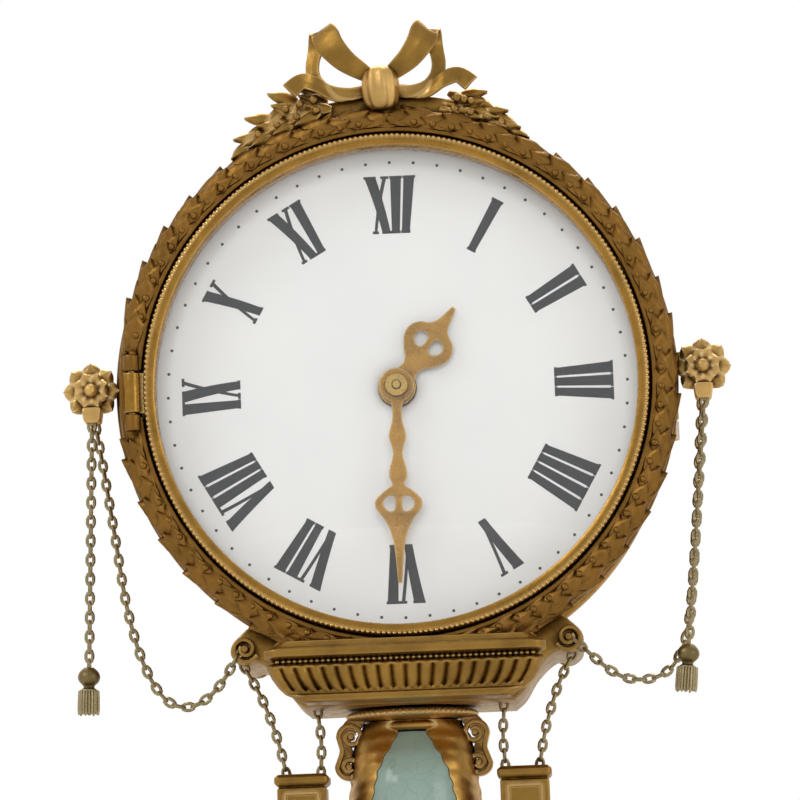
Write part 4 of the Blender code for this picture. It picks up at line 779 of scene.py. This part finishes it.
# blown and polished soda-lime glass: clear, with the faintest waviness
wavy = rippled(tree, where, 30, 0.0, 0.02, 0.2)
feed(tree, shader, {"Base Color": linear("FDFEFD"), "Normal": wavy, "Roughness": 0.0,
                    "IOR": 1.5, "Transmission Weight": 1.0})
GLASS_R, GLASS_BACK, GLASS_RISE, GLASS_THICK = 44, -21.5, 3.5, 1.3
dome = []
for shares, depth in (((0, 0.2, 0.4, 0.6, 0.8, 0.99), 0), ((1, 0.8, 0.6, 0.4, 0.2, 0), GLASS_THICK)):
    dome += [(GLASS_R * s, GLASS_BACK - depth - GLASS_RISE * (1 - s * s)) for s in shares]
glass = bmesh.new()
spun(glass, dome, 96, MIDDLE, "Y")
pane = piece("glass_dome", glass, clear, "front_glass", body="bezel", slot="glass")
# clear glass takes no light from the dial behind it
pane.visible_shadow = pane.visible_diffuse = False

# The back door: a turned bronze disc, fire-gilt, with a sunk panel, a ring of fine beads and a turned knob.
# Its knuckle swings on the back hinge's pin.

DOOR = [(0, 22.3), (47.3, 22.3), (47.3, 23.7), (46.6, 24.4), (44.2, 24.4), (43.6, 24.0), (42.9, 24.0),
        (42.3, 24.3), (40.4, 24.3), (39.5, 23.8), (30.6, 23.8), (30.2, 24.1), (29.4, 24.1), (29.0, 23.8),
        (6.0, 23.8), (5.2, 24.3), (2.0, 24.6), (0, 24.6)]
KNOB = [(0, -1.0), (1.0, -1.0), (1.0, 0.8), (1.9, 1.3), (2.0, 2.0), (1.6, 2.7), (0, 2.9)]
KNOB_X, DOOR_FACE = -42.6, 24.4
door = bmesh.new()
spun(door, eased(DOOR, 0.2), 144, MIDDLE, "Y")
spun(door, eased(KNOB, 0.3), 28, (KNOB_X, DOOR_FACE, DIAL_Z), "Y")
ring = upright(arc(36.0, 0, 355, 72), 23.9)
row(door, ring, bead(0.6), burnished, closed=True, Count=150, Facing=(0.0, 1.0, 0.0))
knuckle(door, BACK_PIN, 2.6, ((45.8, 22.5), (49.0, 24.2)))
piece("back_door_disc", door, burnished, "back_door", body="door")

# The crest: a ribbon bow with two upright loops, fluttering tails and a knot, and a spray of laurel to each
# side. It is cast in bronze, chased and fire-gilt, and screwed to the top of the wreath ring.

BOW_X = -0.9
# the right loop and tail from the bow's middle, as (across, depth, height from the dial's middle)
LOOP = [(1.2, -22.0, 55.8), (3.0, -22.7, 57.0), (5.4, -23.3, 58.9), (7.4, -23.0, 61.6), (8.5, -21.6, 64.2),
        (9.0, -19.8, 64.6), (9.8, -18.9, 62.4), (10.6, -19.4, 59.0), (10.2, -20.6, 56.0),
        (8.2, -21.4, 53.8), (4.8, -21.8, 53.0), (1.4, -21.8, 53.8)]
LOOP_WIDTH = [(0, 0.42), (0.18, 0.72), (0.32, 0.92), (0.45, 0.8), (0.6, 0.5), (0.8, 0.42), (1, 0.4)]
TAIL = [(3.0, -20.6, 53.6), (8.0, -21.2, 53.0), (11.4, -22.2, 54.8), (14.0, -21.4, 55.8),
        (16.4, -22.0, 54.0)]
RIBBON = [(-0.5, -2.9), (0.5, -2.9), (0.8, 0), (0.5, 2.9), (-0.5, 2.9), (-0.2, 0)]
RIBBON = eased(RIBBON, 0.4, closed=True)
# rows of leaves beside the bow, as (radius, depth, first angle, last angle, leaves, leaf's length, splay)
SPRAYS = ((51.8, -21.1, 79, 59.5, 8, 5.2, 0.42), (53.4, -20.3, 78.5, 63.5, 6, 6.0, 0.6),
          (55.2, -19.5, 78, 69, 4, 6.2, 0.75))
# rows of berries between them, as (radius, first angle, last angle, berries)
SPRAY_BERRIES = ((52.2, 76, 62, 4), (54.2, 76, 69, 3))
# the two sides are uneven, as (side, width of the loop, fullness of the spray)
UNEVEN = ((-1, 1.15, 0.80), (1, 1.0, 0.40))
crest = bmesh.new()


def spray_line(side, full, radius, first, last, depth):
    """The line of a row in a spray, which lies closer in and ends sooner the less full the spray is."""
    bare = 1 - full
    return upright([(side * x, z) for x, z in arc(radius - 2 * bare, first, last + 7 * bare, 24)], depth)


for s, wider, full in UNEVEN:
    path = [(BOW_X + s * x * wider, y, DIAL_Z + z) for x, y, z in flowing(LOOP, 5)]
    swept(crest, path, RIBBON, (s * 0.80, 0.25, -0.55), size=lambda t: read_off(LOOP_WIDTH, t))
    path = [(BOW_X + s * x, y, DIAL_Z + z) for x, y, z in flowing(TAIL, 5)]
    swept(crest, path, RIBBON, (0, 0.3, 1), size=lambda t: 0.42 + 0.16 * t)
    for radius, depth, first, last, count, length, wide in SPRAYS:
        length *= 0.5 + 0.5 * full
        blade = leaf(length, length * 0.47, 0.7, 0.8)
        row(crest, spray_line(s, full, radius, first, last, depth), blade, gilt,
            Count=round(count * (0.7 + 0.3 * full)), Splay=wide * full, Unevenness=0.12, Seed=5,
            Middle=(0, depth, DIAL_Z), Outward=0.3)
    for radius, first, last, count in SPRAY_BERRIES:
        path = spray_line(s, full, radius, first, last, -21.9)
        row(crest, path, bead(0.8), gilt, Count=count, Unevenness=0.15)
foot = arc(50.0, 61.5, 119, 41) + arc(52.8, 115, 70, 41)
flat_work(crest, [foot], -20.6, -17.4, 0.3, DIAL_Z)
piece("bow_crest_ribbon", crest, gilt, "bow_crest")

# a pale, light copy of the gilding: a painted highlight on the front-facing knot and rosettes
worn_and_highlit_gold = gilding("gilt_bronze_pale_highlit", "E8BE74", "FAE4B0", "6A4A1C", 0.46)
KNOT = [(0, -4.4), (1.7, -4.2), (2.9, -2.9), (3.3, -0.2), (2.9, 2.5), (1.6, 3.7), (0, 3.9)]
KNOT_FOLDS = 9
knot = bmesh.new()
spun(knot, flowing(KNOT, 3), 48, (BOW_X, -21.9, DIAL_Z + 54.0),
     swell=lambda turn, at: 1 + 0.06 * cos(KNOT_FOLDS * turn + 0.25 * at))
# the knot's pale gold is a painted highlight
piece("bow_knot", knot, worn_and_highlit_gold)

# The rosettes: two layers of petals round a boss, cast, chased, fire-gilt and screwed to the drum at 9 and
# 3 o'clock. A lug below each carries the tassel's chain and the swag.

ROSETTE_RISE, PETALS = 1.2, 8
DISC = [(0, -15.8), (3.4, -15.8), (4.0, -16.4), (4.0, -18.0), (3.0, -18.6), (0, -18.7)]
BOSS = [(0, -22.6), (0.7, -22.4), (1.15, -21.7), (1.15, -21.0), (0.8, -20.4), (0.8, -18.4), (0, -18.4)]
CHAIN_LUG = eased([(-1.4, -5.9), (1.4, -5.9), (1.8, -3.0), (-1.8, -3.0)], 0.8, closed=True)
# the layers, as (petal's length, width, radius of its stalk, depth, turn of the layer)
LAYERS = ((4.2, 4.0, 0.9, -18.4, 0.0), (2.6, 2.8, 0.7, -20.0, pi / PETALS))
# the rosettes' petals and discs take the pale gold as a painted highlight
for side in ("left", "right"):
    x, z = middle_of(f"rosette_{side}")[0], DIAL_Z + ROSETTE_RISE
    rosette = bmesh.new()
    spun(rosette, eased(DISC, 0.3), 40, (x, 0, z), "Y")
    spun(rosette, flowing(BOSS, 2), 30, (x, 0, z), "Y")
    for length, width, stalk, depth, first in LAYERS:
        petal = leaf(length, width, 0.7, 1.0, tip=0.8)
        bmesh.ops.rotate(petal, matrix=Matrix.Rotation(-pi / 2, 3, "Z"), verts=petal.verts)
        turns = [first + tau * k / PETALS for k in range(PETALS)]
        stalks = [(x + stalk * cos(a), depth, z + stalk * sin(a)) for a in turns]
        row(rosette, stalks, petal, worn_and_highlit_gold, closed=True, Count=PETALS)
    flat_work(rosette, [[(x + u, w) for u, w in CHAIN_LUG]], -21.2, -16.0, 0.3, z)
    piece(f"rosette_{side}_petalled", rosette, worn_and_highlit_gold, f"rosette_{side}")

# The tassels: each hangs from its rosette on a fine chain of soldered oval links, and has a turned cap and
# a skirt of cast strands. All are gilt brass.

# thinly gilt brass wire, worn by rubbing link on link: a grey gold
chain_gilt = gilding("gilt_brass_chain", "8C7950", "CDBD97", "352C1A", 0.38)
LINK_LONG, LINK_WIDE, WIRE, PITCH = 2.9, 1.9, 0.34, 1.75
link = bmesh.new()
turns = [tau * k / 10 for k in range(10)]
oval = [((LINK_LONG / 2 - WIRE) * cos(a), (LINK_WIDE / 2 - WIRE) * sin(a), 0) for a in turns]
swept(link, oval, [(u, v) for u, v, _ in circle(WIRE, 0, 5)], UP, closed=True)


def length_of(path):
    """A path's length from point to point."""
    return sum((Vector(b) - Vector(a)).length for a, b in zip(path, path[1:]))


def chain(name, path, node, body="case"):
    """A chain of links along a path, every other link turned a quarter."""
    shape = bmesh.new()
    row(shape, path, link, chain_gilt, Count=round(length_of(path) / PITCH) + 1, Roll=pi / 2)
    return piece(name, shape, chain_gilt, node, body=body)


CAP_TOP = [(0.8, 0), (1.3, -0.4), (1.8, -1.0), (2.0, -1.8), (1.7, -2.6), (1.1, -3.2), (1.0, -3.6),
           (1.5, -4.0), (1.5, -4.3), (1.1, -4.7), (0.9, -7.6), (0, -7.7)]
STRAND = [(0.05, -4.2), (0.18, -4.1), (0.27, -3.4), (0.25, -1.2), (0.18, 0), (0.05, 0.1)]
# two rings of strands, as (radius, strands, height below the chain)
SKIRTS = ((1.75, 22, -4.2), (1.3, 16, -4.1))
TASSEL_Y, LUG_LOW, TASSEL_LOW, LAST_LINK = -20.4, -5.2, -48.2, 0.3
strand = bmesh.new()
spun(strand, STRAND, 6)
for side, tassel_x in (("left", -56.5), ("right", 50.2)):
    top = Vector((middle_of(f"rosette_{side}")[0], TASSEL_Y, DIAL_Z + LUG_LOW))
    low = Vector((tassel_x, TASSEL_Y, DIAL_Z + TASSEL_LOW))
    path = [top.lerp(low, k / 24) for k in range(25)]
    tassel = bmesh.new()
    spun(tassel, [(0, 0), *flowing(CAP_TOP, 3)], 30)
    for radius, count, height in SKIRTS:
        row(tassel, circle(radius, height, 40), strand, chain_gilt, closed=True, Count=count, Facing=UP,
            Unevenness=0.05)
    lean = atan2(low.x - top.x, top.z - low.z)
    below = Matrix.Translation(low + (low - top).normalized() * LAST_LINK)
    bmesh.ops.transform(tassel, matrix=below @ Matrix.Rotation(-lean, 4, "Y"), verts=tassel.verts)
    body = f"tassel_{side}"
    skirted = piece(f"{body}_skirted", tassel, chain_gilt, body, body=body)
    links = chain(f"tassel_chain_{side}_links", path, f"tassel_chain_{side}", body)

# The swags and the short chains: the same soldered chain. A swag hangs from each rosette to the volute of
# the cradle's arm, and two short chains run from the cradle to each side cap.

SWAG_Y, CAP_HOOK = -16.8, -67.9
SWAGS = {
    "left": [(-54.4, -5.2), (-53.0, -14.7), (-51.5, -25.5), (-49.7, -38.2), (-47.0, -48.2), (-43.3, -54.5),
             (-38.8, -55.9), (-34.2, -53.0), (-29.8, -46.6)],
    "right": [(54.4, -5.2), (53.6, -14.0), (52.6, -26.0), (51.2, -39.0), (49.6, -47.5), (46.6, -52.6),
              (42.0, -54.2), (36.8, -52.8), (29.8, -46.6)],
}
# the short chains on the right, as their top and (across, depth, share of the way down to the cap)
SHORT = {
    "outer": (-48.9, [(29.4, -12.0, 0), (26.6, -10.6, 0.29), (24.2, -8.6, 0.66), (22.8, -7.0, 1)]),
    "inner": (-57.0, [(16.8, -6.0, 0), (16.4, -6.0, 0.5), (16.6, -6.0, 1)]),
}
for side, points in SWAGS.items():
    path = flowing(upright(points, SWAG_Y), 5)
    links = chain(f"swag_{side}_links", path, f"swag_chain_{side}")
for side, s in (("left", -1), ("right", 1)):
    for name, (top, points) in SHORT.items():
        route = [(s * x, y, DIAL_Z + top + (CAP_HOOK - top) * share) for x, y, share in points]
        chain(f"{name}_chain_{side}_links", flowing(route, 6), f"{name}_chain_{side}")

# The dial: a copper disc, domed, enamelled white on both sides and fired.
# It is pinned in front of the movement, with a hole for the hands.

enamel, tree, shader, where = finish_for("white_enamel")
# fired vitreous enamel: an even, slightly cool white under a deep gloss, with faint clouds and fine specks
_, white = clouded(tree, where, 16, 3.0, "E6E6E6", "F0EFEE")
fine = add(tree, "ShaderNodeTexVoronoi", {"Vector": where, "Scale": 1 / (5 * MM)})
speck = add(tree, "ShaderNodeMapRange",
            {"Value": fine, "From Min": 0.03, "From Max": 0.012, "To Max": 0.4})
specked = add(tree, "ShaderNodeMix", {0: speck, 6: white, 7: linear("8F8C86")}, data_type="RGBA")
sag = rippled(tree, where, 5, 1.0, 0.05, 0.1)
feed(tree, shader, {"Base Color": specked, "Normal": sag, "Roughness": 0.25,
                    "Coat Weight": 0.6, "Coat Roughness": 0.05})

DIAL_R, DIAL_BACK, _ = box_of("dial")[1]
DIAL_EDGE, DIAL_DOME, BORE = -14.7, 1.2, 3.4


def dial_front(radius):
    """The depth of the dial's domed front at a radius."""
    return DIAL_EDGE - DIAL_DOME * (1 - (radius / DIAL_R) ** 2)


disc = [(BORE, DIAL_BACK), (DIAL_R, DIAL_BACK)]
disc += [(r, dial_front(r)) for r in (DIAL_R, 44, 40, 35, 30, 25, 20, 15, 10, 6, BORE + 0.5)]
disc += [(BORE + 0.1, dial_front(BORE) + 0.25)]
dial = bmesh.new()
spun(dial, disc, 128, MIDDLE, "Y", closed=True)
piece("dial_enamel", dial, enamel, "dial", slot="white_enamel")

# The numerals and minute dots: black enamel, painted on the dial by hand and fired.
# Roman numerals stand on the circle with their feet to the middle, four written as IIII.

black, tree, shader, where = finish_for("black_enamel")
# fired black enamel paint: near black, glossy, a little thin in places where the brush ran dry
_, ink = clouded(tree, where, 1.2, 3.0, "101114", "212228")
feed(tree, shader, {"Base Color": ink, "Roughness": 0.35})

FOOT_R, HEAD_R, DOT_R = 28.2, 38.8, 41.3
THICK, SERIF = 1.7, 0.5
# each letter as its width, its strokes (foot from, foot to, head from, head to), and its foot and head serifs
LETTERS = {
    "I": (2.1, [(-THICK / 2, THICK / 2, -THICK / 2, THICK / 2)], [(-1.0, 1.0)], [(-1.0, 1.0)]),
    "V": (3.8, [(-0.9, 0.85, -2.1, -0.35), (-0.2, 0.35, 1.1, 1.65)], [], [(-2.1, -0.2), (0.75, 2.0)]),
    "X": (3.9, [(0.2, 1.95, -1.95, -0.2), (-1.6, -1.0, 1.0, 1.6)], [(-1.9, -0.6), (0.1, 2.05)],
          [(-2.05, -0.1), (0.6, 1.9)]),
}
WORDS = ("XII", "I", "II", "III", "IIII", "V", "VI", "VII", "VIII", "IX", "X", "XI")
numerals = bmesh.new()


def painted(foot, head, low, high, hour):
    """Adds a stroke of paint that lies on the dial between two radii, with its edges at foot and head."""
    turn = radians(30 * hour)
    rings = []
    for share in (k / 6 for k in range(7)):
        radius = low + (high - low) * share
        left, right = (f + (h - f) * share for f, h in zip(foot, head))
        brushed = ((left, 0.06), (left, -0.03), ((left + right) / 2, -0.045), (right, -0.03), (right, 0.06))
        ring = []
        for u, lift in brushed:
            u *= 2 * radius / (FOOT_R + HEAD_R)
            x = u * cos(turn) + radius * sin(turn)
            z = radius * cos(turn) - u * sin(turn)
            ring.append((x, dial_front(hypot(x, z)) + lift, DIAL_Z + z))
        rings.append(ring)
    loft(numerals, rings)


for hour, word in enumerate(WORDS):
    across = -sum(LETTERS[letter][0] for letter in word) / 2
    for letter in word:
        wide, strokes, foot_serifs, head_serifs = LETTERS[letter]
        middle = across + wide / 2
        across += wide
        for a, b, c, d in strokes:
            painted((middle + a, middle + b), (middle + c, middle + d), FOOT_R, HEAD_R, hour)
        for serifs, radius in ((foot_serifs, FOOT_R), (head_serifs, HEAD_R - SERIF)):
            for a, b in serifs:
                ends = (middle + a, middle + b)
                painted(ends, ends, radius, radius + SERIF, hour)
dot = bmesh.new()
bmesh.ops.create_uvsphere(dot, u_segments=10, v_segments=5, radius=0.3)
bmesh.ops.scale(dot, vec=(1, 1, 0.16), verts=dot.verts)
track = upright(arc(DOT_R, 90, -264, 60), dial_front(DOT_R))
row(numerals, track, dot, black, closed=True, Count=60)
piece("numerals_painted", numerals, black, slot="white_enamel")

# The hands: sawn and pierced from sheet brass, filed, gilt and pressed on their pipes, with a turned collet
# that holds the minute hand on its arbor.

SHEET, FILED = 0.5, 0.12
# each hand's right half from the hub to the tip, and its right opening
HOUR = [(1.9, 2.8), (1.6, 4.0), (2.0, 5.2), (3.3, 6.6), (4.5, 8.4), (4.7, 10.2), (3.7, 11.9), (2.1, 12.8),
        (1.3, 13.8), (1.0, 14.8), (0.4, 17.5)]
HOUR_OPEN = [(0.7, 8.6), (1.8, 8.2), (2.8, 9.3), (2.6, 10.5), (1.5, 11.0), (0.7, 10.6)]
MINUTE = [(1.1, 2.9), (0.85, 4.4), (0.9, 6.4), (1.45, 8.4), (1.5, 9.6), (0.95, 11.4), (0.9, 12.8),
          (1.45, 14.8), (1.6, 16.4), (1.1, 17.9), (2.4, 18.9), (4.1, 20.6), (4.0, 22.2), (2.7, 23.9),
          (1.9, 25.4), (1.2, 27.6), (0.8, 30.0), (0.35, 35.5)]
MINUTE_OPEN = [(0.7, 20.2), (1.7, 19.9), (2.7, 20.8), (2.6, 21.9), (1.5, 22.7), (0.7, 22.2)]


def hand(half, opening, bore, clockwise, front):
    """A hand with a round hub, bored and pierced on both sides, some degrees clockwise from 12 o'clock."""
    hub = hypot(*half[0])
    gap = degrees(asin(half[0][0] / hub))
    right = [tuple(p) for p in flowing(half, 4)]
    edge = [*right, *[(-x, z) for x, z in reversed(right)], *arc(hub, 90 + gap, 450 - gap, 31)[1:-1]]
    pierced = flowing(opening, 4, closed=True)
    outlines = [edge, arc(bore, 0, 345, 24), *[[(s * x, z) for x, z in pierced] for s in (-1, 1)]]
    a = radians(clockwise)
    turned = [[(x * cos(a) + z * sin(a), z * cos(a) - x * sin(a)) for x, z in outline]
              for outline in outlines]
    shape = bmesh.new()
    flat_work(shape, turned, front, front + SHEET, FILED, DIAL_Z)
    return shape


hour_hand = hand(HOUR, HOUR_OPEN, 2.45, 38, -17.9)
piece("hour_hand_pierced", hour_hand, burnished, "hour_hand", body="hour_work")
minute_hand = hand(MINUTE, MINUTE_OPEN, 1.35, 181, -19.7)
piece("minute_hand_pierced", minute_hand, burnished, "minute_hand", body="minute_work")
wear(brass, "hand_collet")

# The movement: brass plates, wheels and barrel, steel arbors, click, lever and key, and blued springs.
# It is shut in the drum and keeps its CAD shapes.

blued, tree, shader, where = finish_for("blued_steel")
# polished steel tempered over a flame until its oxide turns blue, with violet clouds where it was hotter
_, tint = clouded(tree, where, 5, 2.0, "1E3A78", "3B2F6E")
feed(tree, shader, {"Base Color": tint, "Metallic": 1.0, "Roughness": 0.22})
wear(brass, "front_plate", "back_plate", "pillar_1", "pillar_2", "pillar_3", "barrel", "centre_wheel",
     "third_wheel", "fourth_wheel", "balance_wheel", "minute_wheel", "hour_wheel")
wear(steel, "barrel_arbor", "winding_key", "click", "escape_wheel", "pallet_lever", "cannon_pinion")
wear(blued, "mainspring", "hairspring")

# The setting: a plain pale floor, a white surround, four soft lamps and the photograph's view, from a little
# below the dial and to its right, with the clock turned slightly in the frame. Lengths here are metres.

paper, tree, shader, where = finish_for("matt_paper")
# a sheet of matt paper: near white with faint fibres
_, pale = clouded(tree, where, 3, 2.0, "E4E2DE", "EBE9E6")
feed(tree, shader, {"Base Color": pale, "Roughness": 0.9})
sheet = bmesh.new()
bmesh.ops.create_grid(sheet, x_segments=1, y_segments=1, size=2.0)
floor = as_object("floor", sheet)
sheet.free()
floor.data.materials.append(paper)

# the surround lights the clock at AMBIENT, looks white, and is mirrored darker in front than behind
AMBIENT, MIRRORED_FRONT, MIRRORED_BACK = 0.36, 0.60, 1.0
world = bpy.data.worlds.new("surround")
world.use_nodes = True
bpy.context.scene.world = world
tree = world.node_tree
ray = add(tree, "ShaderNodeLightPath").outputs
seen = add(tree, "ShaderNodeMath",
           {0: ray["Is Camera Ray"], 1: ray["Is Transmission Ray"]}, operation="MAXIMUM")
way = add(tree, "ShaderNodeTexCoord")
axes = add(tree, "ShaderNodeSeparateXYZ", {0: way.outputs["Generated"]})
behind = add(tree, "ShaderNodeMapRange",
             {"Value": axes.outputs["Y"], "From Min": -0.1, "From Max": 1.0,
              "To Min": MIRRORED_FRONT, "To Max": MIRRORED_BACK})
mirrored = add(tree, "ShaderNodeMix", {0: ray["Is Glossy Ray"], 2: AMBIENT, 3: behind}, data_type="FLOAT")
level = add(tree, "ShaderNodeMix", {0: seen, 2: mirrored, 3: 1.0}, data_type="FLOAT")
feed(tree, tree.nodes["Background"], {"Strength": level, "Color": (1.0, 1.0, 1.0, 1.0)})

# a key at the upper left, a weak fill on the right, a large lamp in front and one high behind for the edges,
# as (name, place, size, power); the front lamp isn't mirrored, or it would veil the glass and the gilding
LAMPS = (("key", (-0.82, -0.72, 0.95), 0.6, 2.8), ("fill", (0.90, -0.70, 0.35), 0.5, 1.0),
         ("front", (0.0, -2.60, 0.50), 1.7, 34.0), ("back", (0.1, 1.1, 1.7), 1.4, 23.0))
LIT = Vector((0, 0, 0.17))
for name, place, size, power in LAMPS:
    lamp = bpy.data.lights.new(name, "AREA")
    lamp.size = size
    lamp.energy = power
    holder = bpy.data.objects.new(name, lamp)
    holder.location = place
    holder.rotation_euler = (LIT - Vector(place)).to_track_quat("-Z", "Y").to_euler()
    holder.visible_glossy = holder.visible_transmission = name != "front"
    bpy.context.scene.collection.objects.link(holder)

AIM, DISTANCE = Vector((0, -0.015, 0.176)), 0.9
# how far the picture's middle lies from the aim, across and up
OFF_MIDDLE = Vector((0.00036, -0.0020, 0))
to_right, below, roll = radians(2), radians(8), radians(2.1)
away = Vector((sin(to_right) * cos(below), -cos(to_right) * cos(below),
               -sin(below)))
spot = AIM + DISTANCE * away
framed = AIM + (AIM - spot).to_track_quat("-Z", "Y").to_matrix() @ OFF_MIDDLE
turned = (framed - spot).to_track_quat("-Z", "Y").to_matrix() @ Matrix.Rotation(-roll, 3, "Z")
lens = bpy.data.cameras.new("photograph")
lens.lens = 225
lens.sensor_width = 36
lens.clip_start = 0.01
camera = bpy.data.objects.new("photograph", lens)
camera.matrix_world = Matrix.Translation(spot) @ turned.to_4x4()
bpy.context.scene.collection.objects.link(camera)
bpy.context.scene.camera = camera
bpy.context.scene.view_settings.view_transform = "Standard"
